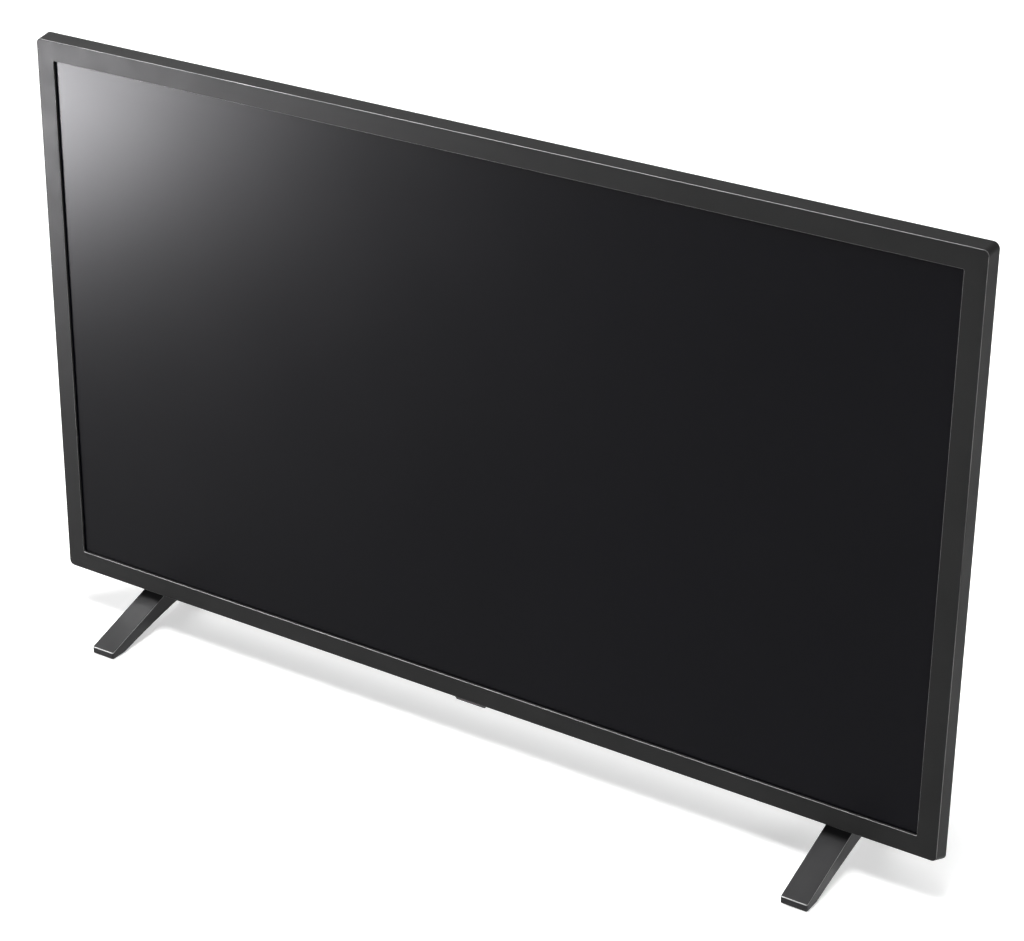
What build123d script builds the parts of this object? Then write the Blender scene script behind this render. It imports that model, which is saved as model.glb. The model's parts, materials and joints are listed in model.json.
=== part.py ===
from build123d import *
import os
from math import radians, sin, sqrt

# A flat screen television with a 32-inch class picture, standing on two bar feet.
# Millimetres, +Z up, and the screen faces -Y. The origin is on the surface that the feet stand
# on, under the middle of the whole outline. A depth is measured back from the front face.

# Front frame
front_width = 732.9
front_height = 426.2
side_border = 14.85
top_border = 14.9
bottom_border = 14.9
lip_thickness = 1.8
frame_wall = 2.0
edge_depth = 12.2
side_flare = 1.55
top_flare = 1.9
bottom_flare = 4.8
front_corner = 3.8
rear_corner = 4.6
opening_corner = 0.9
front_edge_round = 0.6
opening_edge_round = 0.5

# Feet
ground_gap = 34.4
foot_length = 180.0
toe_reach = 52.0
foot_width = 20.0
foot_inset = 74.45
toe_height = 5.9
toe_flat = 14.0
arm_rise = 29.9
arch_height = 17.5
arch_bow_share = 0.05
neck_length = 26.0
neck_centre_depth = 51.0
tongue_length = 14.0
tongue_height = 50.0
foot_edge_round = 1.0
toe_round = 1.6
pad_length = 11.0
pad_width = 15.0
pad_thickness = 1.4
pad_proud = 0.5

# Rear cover
cover_wall = 2.2
slim_depth = 36.0
back_depth = 83.0
border_slope = 20.0
bulge_side_gap = 26.0
bulge_bottom_step = 4.0
bulge_top_gap = 41.0
bulge_side_slope = 12.0
bulge_bottom_slope = 8.0
bulge_top_slope = 24.0
slim_round = 5.0
bulge_round = 7.0
bulge_corner = 16.0
rim_depth = 4.0
rim_thickness = 1.8
vent_slot = 2.6
vent_length = 26.0
vent_pitch = 7.0
vent_count = 50
grille_slot = 2.0
grille_length = 22.0
grille_pitch = 5.0
grille_count = 20

# Screen module, from the front to the back
gasket_thickness = 0.3
cell_overlap = 3.2
cell_thickness = 1.4
ledge_thickness = 1.0
ledge_setback = 0.5
film_thickness = 0.3
plate_thickness = 1.5
sheet_overlap = 3.4
light_space = 16.9
reflector_thickness = 0.4
reflector_slope = 18.0
bar_thickness = 1.0
bar_height = 14.0
bar_overhang = 22.0
chassis_thickness = 0.6
chassis_inset = 8.0
flange_overhang = 3.0
lens_radius = 7.5
lens_height = 5.5
lens_pitch = 84.0
lens_columns = 8
lens_row_gap = 122.0
lens_rows = 3
lamp_size = 2.8
lamp_height = 0.7
lamp_hollow_radius = 2.6
lamp_hollow_height = 1.5
support_base_radius = 5.0
support_tip_radius = 1.0

# Source boards along the lower edge, and the films that join them to the cell
source_board_width = 210.0
source_board_height = 12.0
source_board_thickness = 1.0
source_board_middle_x = 125.0
source_board_rise = 5.0
source_film_width = 30.0
source_film_pitch = 70.0
source_film_bend = 1.6
source_film_thickness = 0.15

# Circuit boards
standoff_height = 12.0
standoff_radius = 3.0
board_thickness = 1.6
board_width = 180.0
board_height = 165.0
board_gap = 20.0
board_screw_inset = 7.0
board_hole_radius = 1.7
chip_size = 24.0
chip_height = 1.8
sink_size = 44.0
sink_base = 3.0
sink_height = 14.0
sink_fin = 1.4
sink_fin_count = 8
memory_size = 11.0
coil_size = 14.0
transformer_width = 42.0
transformer_height = 34.0
transformer_depth = 22.0
winding_height = 12.0
capacitor_radius = 9.0
capacitor_length = 25.0
capacitor_pitch = 24.0
power_sink_width = 60.0
power_sink_height = 22.0
power_sink_thickness = 2.5

# Sockets
socket_overhang = 6.2
video_width = 15.0
video_height = 6.2
video_length = 12.0
video_mouth_width = 14.0
video_mouth_height = 4.6
video_mouth_depth = 9.0
video_tongue = 1.2
data_width = 14.4
data_height = 7.2
data_length = 15.0
data_mouth_width = 12.5
data_mouth_height = 5.1
data_mouth_depth = 12.0
data_tongue = 1.8
side_socket_pitch = 22.0
side_socket_shift = 8.0
upright_height = 18.0
lan_width = 16.0
lan_height = 13.6
lan_mouth_width = 11.8
lan_mouth_height = 8.2
lan_mouth_depth = 13.0
optical_size = 11.0
optical_mouth = 6.0
optical_mouth_depth = 9.0
audio_size = 11.0
audio_mouth_radius = 1.8
audio_mouth_depth = 14.0
aerial_size = 14.0
aerial_radius = 4.7
aerial_length = 10.0
aerial_mouth_radius = 1.5
aerial_mouth_depth = 8.0
inlet_width = 20.0
inlet_height = 12.5
inlet_mouth_radius = 3.9
inlet_mouth_width = 16.0
inlet_mouth_depth = 15.0
inlet_pin_radius = 1.2
inlet_pin_pitch = 8.6
inlet_pin_recess = 2.0
upright_row_drop = 63.0
upright_pitch = 26.0

# Hollows of the rear cover around the sockets
side_bay_height = 140.0
rear_bay_height = 32.0
rear_bay_margin = 14.0
inlet_bay_margin = 11.0

# Speakers
speaker_width = 122.0
speaker_depth = 40.0
speaker_height = 70.0
speaker_foot_gap = 91.0
speaker_wall = 2.0
speaker_stand_off = 6.3
speaker_drop = 3.6
driver_width = 70.0
driver_height = 32.0
driver_flange = 2.0
cone_border = 4.0
cone_depth = 5.0
cone_thickness = 0.6
magnet_radius = 11.0
magnet_height = 12.0
grommet_radius = 6.0

# Sensor and joystick unit under the lower edge
bump_half_width = 14.3
bump_front_depth = 9.5
bump_length = 19.5
bump_drop = 8.4
bump_height = 17.0
bump_wall = 1.5
bump_chamfer = 2.4
window_width = 16.0
window_height = 2.6
window_thickness = 1.0
sensor_board_thickness = 1.0
sensor_board_setback = 0.8
receiver_size = 5.0
receiver_height = 4.0
ball_radius = 6.6
ball_wall = 1.0
ball_edge_rise = 3.0
button_radius = 4.2
button_proud = 1.6
tilt_limit = 6.0
press_travel = 0.6
cross_size = 2.8
cross_pin_radius = 0.5
lug_reach = 2.6
lug_thickness = 0.8
lug_width = 1.8
lug_end = 0.9
yoke_rise = 1.9
yoke_height = 1.0
post_size = 2.4
post_length = 2.9
switch_size = 8.0
switch_gap = 0.9

# Mounting holes for a wall bracket, 200 by 200 with M6 threads
wall_hole_pitch = 200.0
wall_thread_radius = 3.0
wall_thread_depth = 18.0
pillar_radius = 6.5

# Screws
cover_screw_radius = 1.5
cover_screw_head = 3.2
cover_screw_head_height = 2.2
cover_boss_radius = 4.5
cover_counterbore_depth = 5.0
foot_screw_radius = 2.0
foot_screw_head = 3.8
foot_screw_head_height = 2.6
foot_screw_thread = 2.0
foot_screw_shares = (0.32, 0.74)
foot_tunnel_radius = 4.6
board_screw_radius = 1.4
board_screw_head = 2.8
board_screw_head_height = 1.8
board_screw_length = 6.0
drive_slot = 0.9

# Brackets, leads and the cover's screw places
bracket_width = 36.0
bracket_height = 40.0
bracket_thickness = 2.0
lead_radius = 1.3
lead_bend = 7.0
lead_tight_bend = 3.0
plug_size = 8.0
plug_height = 6.0
ribbon_width = 26.0
ribbon_thickness = 0.4
ribbon_bend = 3.0
speaker_lead_share = 0.85

# Clearances
fit_gap = 0.3
slip_gap = 0.4
pin_gap = 0.05
slide_gap = 0.08
overrun = 5.0

# Places worked out from the sizes above
front_y = toe_reach - foot_length / 2
front_bottom = ground_gap
front_top = front_bottom + front_height
middle_z = (front_bottom + front_top) / 2
rear_width = front_width + 2 * side_flare
rear_bottom = front_bottom - bottom_flare
rear_top = front_top + top_flare
opening_width = front_width - 2 * side_border
opening_bottom = front_bottom + bottom_border
opening_top = front_top - top_border
opening_middle = (opening_bottom + opening_top) / 2
inner_width = front_width - 2 * frame_wall
inner_bottom = front_bottom + frame_wall
inner_top = front_top - frame_wall
skirt_depth = edge_depth

cell_front = lip_thickness + gasket_thickness
cell_back = cell_front + cell_thickness
ledge_back = cell_back + ledge_thickness
prism_front = ledge_back + film_thickness
plate_front = prism_front + film_thickness
plate_back = plate_front + plate_thickness
reflector_front = plate_back + light_space
bar_front = reflector_front + reflector_thickness
chassis_front = bar_front + bar_thickness
chassis_back = chassis_front + chassis_thickness
board_front = chassis_back + standoff_height
board_back = board_front + board_thickness

sheet_width = opening_width + 2 * sheet_overlap
sheet_bottom = opening_bottom - sheet_overlap
sheet_top = opening_top + sheet_overlap
tray_width = sheet_width - 2 * chassis_inset
tray_bottom = sheet_bottom + chassis_inset
tray_top = sheet_top - chassis_inset

slim_width = rear_width - 2 * border_slope
slim_bottom = rear_bottom + border_slope
slim_top = rear_top - border_slope
bulge_half_width = slim_width / 2 - bulge_side_gap
foot_middle_x = front_width / 2 - foot_inset
speaker_middle_x = foot_middle_x - speaker_foot_gap
bulge_bottom = slim_bottom + bulge_bottom_step
bulge_top = slim_top - bulge_top_gap

board_middle_x = board_gap + board_width / 2
board_bottom = middle_z - board_height / 2
board_top = middle_z + board_height / 2
port_wall_x = board_gap + board_width + socket_overhang
upright_row_z = middle_z - upright_row_drop
upright_front = board_back + upright_height
wall_hole = wall_hole_pitch / 2

bump_bottom = front_bottom - bump_drop
bump_top = bump_bottom + bump_height
bump_back_depth = bump_front_depth + bump_length
pivot_z = bump_bottom + bump_wall + fit_gap + ball_radius
pivot_depth = (bump_front_depth + bump_back_depth) / 2
pivot_y = front_y + pivot_depth
switch_bottom = pivot_z + yoke_rise + yoke_height + press_travel + switch_gap
switch_top = bump_top - sensor_board_setback - sensor_board_thickness
tongue_front = neck_centre_depth - tongue_length / 2
tongue_back = neck_centre_depth + tongue_length / 2
tongue_bottom = bulge_bottom
tongue_top = tongue_bottom + tongue_height
sleeve_front = tongue_front - fit_gap - cover_wall
sleeve_back = tongue_back + fit_gap + cover_wall
speaker_bottom = bulge_bottom + bulge_bottom_slope + speaker_drop
speaker_front = chassis_back + speaker_stand_off
speaker_middle_depth = speaker_front + speaker_depth / 2

cover_screw_x = (slim_width / 2 + bulge_half_width) / 2
cover_screw_top_z = (slim_top + bulge_top) / 2
side_screw_shares = (-0.56, 0.0, 0.56)
top_screw_shares = (-0.7, 0.0, 0.7)
cover_screws = [
    (side * cover_screw_x, middle_z + share * front_height / 2)
    for side in (-1, 1)
    for share in side_screw_shares
] + [(share * front_width / 2, cover_screw_top_z) for share in top_screw_shares]
foot_screw_heights = [tongue_bottom + share * tongue_height for share in foot_screw_shares]
wall_holes = [(x, middle_z + z) for x in (-wall_hole, wall_hole) for z in (-wall_hole, wall_hole)]
lens_places = [
    ((column - (lens_columns - 1) / 2) * lens_pitch,
     opening_middle + (row - (lens_rows - 1) / 2) * lens_row_gap)
    for row in range(lens_rows)
    for column in range(lens_columns)
]
bar_places = [
    (0, opening_middle + (row - (lens_rows - 1) / 2) * lens_row_gap) for row in range(lens_rows)
]
support_shares = ((-2, 0.5), (0, 0.5), (2, 0.5), (-2, -0.5), (0, -0.5), (2, -0.5))
support_places = [
    (across * lens_pitch, opening_middle + up * lens_row_gap) for across, up in support_shares
]
source_film_places = [
    side * source_board_middle_x + step * source_film_pitch
    for side in (-1, 1)
    for step in (-1, 0, 1)
]
board_corner_x = board_width / 2 - board_screw_inset
board_corner_z = board_height / 2 - board_screw_inset
board_screws = [
    (side * board_middle_x + x, middle_z + z)
    for side in (-1, 1)
    for x in (-board_corner_x, board_corner_x)
    for z in (-board_corner_z, board_corner_z)
]
video_places = [middle_z + side_socket_shift + step * side_socket_pitch for step in (-2, -1, 0)]
data_places = [middle_z + side_socket_shift + step * side_socket_pitch for step in (1, 2)]
aerial_x = port_wall_x - cover_wall - rear_bay_margin - aerial_size
audio_x = aerial_x - upright_pitch
optical_x = audio_x - upright_pitch
lan_x = optical_x - upright_pitch
inlet_x = -board_middle_x - board_width / 4


def upright(depth):
    """The upright plane at a depth behind the front face, drawn as seen from the front."""
    return Plane.XZ.offset(-(front_y + depth))


def outline(depth, width, bottom, top, corner):
    """An upright rectangle with round corners."""
    with BuildSketch(upright(depth)) as shape:
        with Locations((0, (bottom + top) / 2)):
            RectangleRounded(width, top - bottom, corner)
    return shape.sketch


def square_outline(depth, width, bottom, top):
    """An upright rectangle with square corners."""
    with BuildSketch(upright(depth)) as shape:
        with Locations((0, (bottom + top) / 2)):
            Rectangle(width, top - bottom)
    return shape.sketch


def block(x_range, depth_range, z_range, mode=Mode.ADD):
    """A box between two limits along each axis, the middle pair given as depths."""
    x_low, x_high = x_range
    near, far = depth_range
    z_low, z_high = z_range
    middle = ((x_low + x_high) / 2, front_y + (near + far) / 2, (z_low + z_high) / 2)
    with Locations(middle):
        Box(x_high - x_low, far - near, z_high - z_low, mode=mode)


def rods(places, depth, length, radius, mode=Mode.ADD):
    """Round rods or holes that run straight back from a depth, at (x, z) places."""
    with BuildSketch(upright(depth)) as ends:
        with Locations(*places):
            Circle(radius)
    extrude(ends.sketch, amount=-length, mode=mode)


def screw_drives(places, depth, size):
    """Cross slots in screw heads that face the back."""
    with BuildSketch(upright(depth)) as drives:
        with Locations(*places):
            Rectangle(size, drive_slot)
            Rectangle(drive_slot, size)
    extrude(drives.sketch, amount=drive_slot, mode=Mode.SUBTRACT)


def grown(limits, amount):
    """A pair of limits moved outward."""
    return (limits[0] - amount, limits[1] + amount)


def save(piece, name):
    """Labels a finished piece and writes its file."""
    piece.part.label = name
    export_step(piece.part, "parts/" + name + ".step")


os.makedirs("parts", exist_ok=True)

# The unit under the lower edge passes through the frame, the module's skirt and the cover
bump_cut_x = grown((-bump_half_width, bump_half_width), fit_gap)
bump_cut_top = slim_bottom + cover_wall

# Front frame: sides that flare towards the back, a thin lip and a picture opening
with BuildPart() as front_bezel:
    loft(
        [
            outline(0, front_width, front_bottom, front_top, front_corner),
            outline(edge_depth, rear_width, rear_bottom, rear_top, rear_corner),
        ],
        ruled=True,
    )
    fillet(front_bezel.faces().sort_by(Axis.Y)[0].edges(), front_edge_round)
    extrude(
        outline(0, opening_width, opening_bottom, opening_top, opening_corner),
        amount=-edge_depth,
        mode=Mode.SUBTRACT,
    )
    extrude(
        square_outline(lip_thickness, inner_width, inner_bottom, inner_top),
        amount=-edge_depth,
        mode=Mode.SUBTRACT,
    )
    fillet(
        front_bezel.faces().sort_by(Axis.Y)[0].inner_wires()[0].edges(),
        opening_edge_round,
    )
    block(
        bump_cut_x,
        (bump_front_depth - fit_gap, edge_depth + overrun),
        (bump_bottom - overrun, inner_bottom + overrun),
        Mode.SUBTRACT,
    )
save(front_bezel, "front_bezel")

# Foam strip between the lip and the glass
with BuildPart() as panel_gasket:
    extrude(
        square_outline(
            lip_thickness,
            opening_width + 2 * cell_overlap,
            opening_bottom - cell_overlap,
            opening_top + cell_overlap,
        ),
        amount=-gasket_thickness,
    )
    extrude(
        square_outline(
            lip_thickness,
            opening_width + 2 * ledge_setback,
            opening_bottom - ledge_setback,
            opening_top + ledge_setback,
        ),
        amount=-gasket_thickness,
        mode=Mode.SUBTRACT,
    )
save(panel_gasket, "panel_gasket")

# Liquid crystal cell with its polarisers
with BuildPart() as lcd_cell:
    extrude(
        square_outline(
            cell_front,
            opening_width + 2 * cell_overlap,
            opening_bottom - cell_overlap,
            opening_top + cell_overlap,
        ),
        amount=-cell_thickness,
    )
save(lcd_cell, "lcd_cell")

# Moulded frame that holds the cell in front and the sheets behind
rim_inner_width = inner_width - 2 * (fit_gap + rim_thickness)
rim_inner_bottom = inner_bottom + fit_gap + rim_thickness
rim_inner_top = inner_top - fit_gap - rim_thickness
rim_front = edge_depth - rim_depth
flange_width = sheet_width + 2 * flange_overhang
flange_bottom = sheet_bottom - flange_overhang
flange_top = sheet_top + flange_overhang
film_low = flange_bottom - fit_gap - source_film_thickness / 2
with BuildPart() as middle_frame:
    extrude(
        square_outline(
            lip_thickness,
            inner_width - 2 * slip_gap,
            inner_bottom + slip_gap,
            inner_top - slip_gap,
        ),
        amount=-(rim_front - fit_gap - lip_thickness),
    )
    extrude(
        square_outline(
            lip_thickness,
            rim_inner_width - 2 * fit_gap,
            rim_inner_bottom + fit_gap,
            rim_inner_top - fit_gap,
        ),
        amount=-(skirt_depth - lip_thickness),
    )
    hollows = (
        (lip_thickness, cell_back, cell_overlap + fit_gap),
        (lip_thickness, skirt_depth, ledge_setback),
        (ledge_back, skirt_depth, sheet_overlap + fit_gap),
        (plate_back, skirt_depth, sheet_overlap + flange_overhang + fit_gap),
    )
    for near, far, beyond in hollows:
        extrude(
            square_outline(
                near,
                opening_width + 2 * beyond,
                opening_bottom - beyond,
                opening_top + beyond,
            ),
            amount=-(far - near),
            mode=Mode.SUBTRACT,
        )
    for film_x in source_film_places:
        block(
            grown((film_x - source_film_width / 2, film_x + source_film_width / 2), slip_gap),
            (lip_thickness, skirt_depth),
            (film_low - source_film_bend, opening_bottom - ledge_setback),
            Mode.SUBTRACT,
        )
    block(
        bump_cut_x,
        (bump_front_depth - fit_gap, skirt_depth),
        (bump_bottom, bump_top + fit_gap),
        Mode.SUBTRACT,
    )
save(middle_frame, "middle_frame")

# Light sheets, front to back
light_sheets = (
    ("diffuser_sheet", ledge_back, film_thickness),
    ("prism_sheet", prism_front, film_thickness),
    ("diffuser_plate", plate_front, plate_thickness),
)
for sheet_name, sheet_front, sheet_thickness in light_sheets:
    with BuildPart() as light_sheet:
        extrude(
            square_outline(sheet_front, sheet_width, sheet_bottom, sheet_top),
            amount=-sheet_thickness,
        )
    save(light_sheet, sheet_name)

# White tray that throws the light forward, with a hole round each lens
with BuildPart() as reflector_sheet:
    tray_mouth = tray_width - 2 * chassis_thickness - 2 * fit_gap
    mouth_bottom = tray_bottom + chassis_thickness + fit_gap
    mouth_top = tray_top - chassis_thickness - fit_gap
    loft(
        [
            square_outline(plate_back, tray_mouth, mouth_bottom, mouth_top),
            square_outline(
                bar_front,
                tray_mouth - 2 * reflector_slope,
                mouth_bottom + reflector_slope,
                mouth_top - reflector_slope,
            ),
        ],
        ruled=True,
    )
    loft(
        [
            square_outline(
                plate_back,
                tray_mouth - 2 * reflector_thickness,
                mouth_bottom + reflector_thickness,
                mouth_top - reflector_thickness,
            ),
            square_outline(
                reflector_front,
                tray_mouth - 2 * reflector_slope - 2 * reflector_thickness,
                mouth_bottom + reflector_slope + reflector_thickness,
                mouth_top - reflector_slope - reflector_thickness,
            ),
        ],
        ruled=True,
        mode=Mode.SUBTRACT,
    )
    rods(lens_places, reflector_front, reflector_thickness, lens_radius + fit_gap, Mode.SUBTRACT)
save(reflector_sheet, "reflector_sheet")

# Light bars, their lamps and the lenses over them
with BuildPart() as light_bars:
    with BuildSketch(upright(bar_front)):
        with Locations(*bar_places):
            Rectangle((lens_columns - 1) * lens_pitch + 2 * bar_overhang, bar_height)
    extrude(amount=-bar_thickness)
save(light_bars, "light_bars")

with BuildPart() as lamps:
    with BuildSketch(upright(bar_front)):
        with Locations(*lens_places):
            Rectangle(lamp_size, lamp_size)
    extrude(amount=lamp_height)
save(lamps, "lamps")

with BuildPart() as lamp_lenses:
    rods(lens_places, bar_front - lens_height, lens_height, lens_radius)
    fillet(
        lamp_lenses.faces().group_by(Axis.Y)[0].edges(),
        min(lens_height, lens_radius) - ledge_thickness,
    )
    rods(
        lens_places,
        bar_front - lamp_hollow_height,
        lamp_hollow_height,
        lamp_hollow_radius,
        Mode.SUBTRACT,
    )
save(lamp_lenses, "lamp_lenses")

# White posts that keep the diffuser plate off the lamps
with BuildPart() as plate_supports:
    with BuildSketch(upright(reflector_front)) as support_feet:
        with Locations(*support_places):
            Circle(support_base_radius)
    with BuildSketch(upright(plate_back)) as support_tips:
        with Locations(*support_places):
            Circle(support_tip_radius)
    for foot_face, tip_face in zip(
        support_feet.sketch.faces().sort_by(Axis.X).sort_by(Axis.Z),
        support_tips.sketch.faces().sort_by(Axis.X).sort_by(Axis.Z),
    ):
        loft([foot_face, tip_face])
save(plate_supports, "plate_supports")

# Pressed metal tray that the module and the boards are fixed to
with BuildPart() as rear_chassis:
    extrude(
        square_outline(plate_back, tray_width, tray_bottom, tray_top),
        amount=-(chassis_back - plate_back),
    )
    extrude(
        square_outline(plate_back, flange_width, flange_bottom, flange_top),
        amount=-chassis_thickness,
    )
    extrude(
        square_outline(
            plate_back,
            tray_width - 2 * chassis_thickness,
            tray_bottom + chassis_thickness,
            tray_top - chassis_thickness,
        ),
        amount=-(chassis_front - plate_back),
        mode=Mode.SUBTRACT,
    )
    rods(cover_screws, chassis_front, chassis_thickness, cover_screw_radius, Mode.SUBTRACT)
save(rear_chassis, "rear_chassis")

# Source boards behind the lower edge of the tray, with the films from the cell
with BuildPart() as source_boards:
    for side in (-1, 1):
        board_x = side * source_board_middle_x
        block(
            (board_x - source_board_width / 2, board_x + source_board_width / 2),
            (chassis_back, chassis_back + source_board_thickness),
            (tray_bottom + source_board_rise,
             tray_bottom + source_board_rise + source_board_height),
        )
save(source_boards, "source_boards")

film_back = chassis_back + source_board_thickness + source_film_thickness / 2
film_front = cell_front + cell_thickness / 2
film_turn = skirt_depth + fit_gap
film_end = tray_bottom + source_board_rise + source_board_height / 2
with BuildPart() as source_films:
    for film_x in source_film_places:
        with BuildSketch(Plane.YZ.offset(film_x - source_film_width / 2)) as film_section:
            with BuildLine():
                FilletPolyline(
                    (front_y + film_front, opening_bottom - cell_overlap),
                    (front_y + film_front, film_low),
                    (front_y + film_turn, film_low),
                    (front_y + film_back, tray_bottom - fit_gap),
                    (front_y + film_back, film_end),
                    radius=source_film_bend,
                )
            trace(line_width=source_film_thickness)
        extrude(film_section.sketch, amount=source_film_width)
save(source_films, "source_films")

# Standoffs on the tray and the two circuit boards on them
with BuildPart() as board_standoffs:
    rods(board_screws, chassis_back, standoff_height, standoff_radius)
    rods(board_screws, chassis_back, standoff_height, board_screw_radius, Mode.SUBTRACT)
save(board_standoffs, "board_standoffs")

for board_name, side in (("main_board", 1), ("power_board", -1)):
    with BuildPart() as circuit_board:
        block(
            grown((side * board_middle_x, side * board_middle_x), board_width / 2),
            (board_front, board_back),
            (board_bottom, board_top),
        )
        rods(board_screws, board_front, board_thickness, board_hole_radius, Mode.SUBTRACT)
    save(circuit_board, board_name)

with BuildPart() as board_screw_set:
    rods(board_screws, board_back, -board_screw_length, board_screw_radius)
    rods(board_screws, board_back, board_screw_head_height, board_screw_head)
    screw_drives(board_screws, board_back + board_screw_head_height, 2 * board_screw_radius)
save(board_screw_set, "board_screws")

# Main board: picture chip under a finned sink, memory chips and coils
chip_x = board_middle_x - board_width / 8
chip_z = middle_z + board_height / 8
sink_back = board_back + chip_height
with BuildPart() as chip_heat_sink:
    block(
        grown((chip_x, chip_x), sink_size / 2),
        (sink_back, sink_back + sink_base),
        grown((chip_z, chip_z), sink_size / 2),
    )
    fin_pitch = (sink_size - sink_fin) / (sink_fin_count - 1)
    for fin in range(sink_fin_count):
        fin_left = chip_x - sink_size / 2 + fin * fin_pitch
        block(
            (fin_left, fin_left + sink_fin),
            (sink_back + sink_base, sink_back + sink_height),
            grown((chip_z, chip_z), sink_size / 2),
        )
save(chip_heat_sink, "chip_heat_sink")

memory_x = chip_x - sink_size / 2 - memory_size
with BuildPart() as board_chips:
    block(
        grown((chip_x, chip_x), chip_size / 2),
        (board_back, board_back + chip_height),
        grown((chip_z, chip_z), chip_size / 2),
    )
    for row in (-1, 1):
        memory_z = chip_z + row * memory_size
        block(
            grown((memory_x, memory_x), memory_size / 2),
            (board_back, board_back + chip_height),
            grown((memory_z, memory_z), memory_size / 2 - fit_gap),
        )
save(board_chips, "board_chips")

with BuildPart() as board_coils:
    for step in (-1, 0, 1):
        coil_x = chip_x + step * (coil_size + socket_overhang)
        coil_z = chip_z + sink_size / 2 + coil_size
        block(
            grown((coil_x, coil_x), coil_size / 2),
            (board_back, board_back + coil_size / 2),
            grown((coil_z, coil_z), coil_size / 2),
        )
    fillet(board_coils.edges().filter_by(Axis.Y), coil_size / 5)
save(board_coils, "board_coils")


def side_sockets(places, width, height, length, mouth, tongue):
    """Sockets on the main board's edge, open towards +X, each with a tongue inside."""
    mouth_width, mouth_height, mouth_depth = mouth
    middle = board_back + height / 2
    for place in places:
        block(
            (port_wall_x - length, port_wall_x),
            (board_back, board_back + height),
            grown((place, place), width / 2),
        )
        block(
            (port_wall_x - mouth_depth, port_wall_x),
            grown((middle, middle), mouth_height / 2),
            grown((place, place), mouth_width / 2),
            Mode.SUBTRACT,
        )
        block(
            (port_wall_x - mouth_depth, port_wall_x - tongue),
            grown((middle, middle), tongue / 2),
            grown((place, place), mouth_width / 2 - tongue),
        )


with BuildPart() as video_sockets:
    side_sockets(
        video_places,
        video_width,
        video_height,
        video_length,
        (video_mouth_width, video_mouth_height, video_mouth_depth),
        video_tongue,
    )
save(video_sockets, "video_sockets")

with BuildPart() as data_sockets:
    side_sockets(
        data_places,
        data_width,
        data_height,
        data_length,
        (data_mouth_width, data_mouth_height, data_mouth_depth),
        data_tongue,
    )
save(data_sockets, "data_sockets")


def upright_body(x, width, height):
    """The body of a socket that stands on a board and opens to the back."""
    block(
        grown((x, x), width / 2),
        (board_back, upright_front),
        grown((upright_row_z, upright_row_z), height / 2),
    )


def back_mouth(x, width, height, depth):
    """A rectangular mouth in the back of such a socket."""
    block(
        grown((x, x), width / 2),
        (upright_front - depth, upright_front),
        grown((upright_row_z, upright_row_z), height / 2),
        Mode.SUBTRACT,
    )


with BuildPart() as network_socket:
    upright_body(lan_x, lan_width, lan_height)
    back_mouth(lan_x, lan_mouth_width, lan_mouth_height, lan_mouth_depth)
save(network_socket, "network_socket")

with BuildPart() as optical_socket:
    upright_body(optical_x, optical_size, optical_size)
    back_mouth(optical_x, optical_mouth, optical_mouth, optical_mouth_depth)
save(optical_socket, "optical_socket")

with BuildPart() as audio_socket:
    upright_body(audio_x, audio_size, audio_size)
    rods(
        [(audio_x, upright_row_z)],
        upright_front - audio_mouth_depth,
        audio_mouth_depth,
        audio_mouth_radius,
        Mode.SUBTRACT,
    )
save(audio_socket, "audio_socket")

with BuildPart() as aerial_socket:
    upright_body(aerial_x, aerial_size, aerial_size)
    rods([(aerial_x, upright_row_z)], upright_front, aerial_length, aerial_radius)
    rods(
        [(aerial_x, upright_row_z)],
        upright_front + aerial_length - aerial_mouth_depth,
        aerial_mouth_depth,
        aerial_mouth_radius,
        Mode.SUBTRACT,
    )
save(aerial_socket, "aerial_socket")

# Mains inlet on the power board, with a mouth of two joined rounds and two pins
inlet_pin_places = [
    (inlet_x + side * inlet_pin_pitch / 2, upright_row_z) for side in (-1, 1)
]
with BuildPart() as mains_inlet:
    upright_body(inlet_x, inlet_width, inlet_height)
    with BuildSketch(upright(upright_front)) as inlet_mouth:
        with Locations((inlet_x, upright_row_z)):
            SlotOverall(inlet_mouth_width, 2 * inlet_mouth_radius)
    extrude(inlet_mouth.sketch, amount=inlet_mouth_depth, mode=Mode.SUBTRACT)
save(mains_inlet, "mains_inlet")

with BuildPart() as inlet_pins:
    rods(
        inlet_pin_places,
        upright_front - inlet_mouth_depth,
        inlet_mouth_depth - inlet_pin_recess,
        inlet_pin_radius,
    )
save(inlet_pins, "inlet_pins")

# Power board: transformer with its core, storage capacitors and a heat sink
transformer_x = -board_middle_x
with BuildPart() as transformer_winding:
    block(
        grown((transformer_x, transformer_x), transformer_width / 2),
        (board_back, board_back + transformer_depth),
        grown((middle_z, middle_z), winding_height / 2),
    )
save(transformer_winding, "transformer_winding")

with BuildPart() as transformer_core_set:
    for side in (-1, 1):
        core_middle = middle_z + side * (winding_height + transformer_height) / 4
        block(
            grown((transformer_x, transformer_x), transformer_width / 2 - winding_height / 4),
            (board_back, board_back + transformer_depth),
            grown((core_middle, core_middle), (transformer_height - winding_height) / 4),
        )
save(transformer_core_set, "transformer_core")

capacitor_places = [
    (inlet_x + across * capacitor_pitch / 2, middle_z + board_height / 4 + up * capacitor_pitch / 2)
    for across in (-1, 1)
    for up in (-1, 1)
]
with BuildPart() as storage_capacitors:
    rods(capacitor_places, board_back, capacitor_length, capacitor_radius)
    fillet(storage_capacitors.faces().group_by(Axis.Y)[-1].edges(), capacitor_radius / 8)
save(storage_capacitors, "storage_capacitors")

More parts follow.
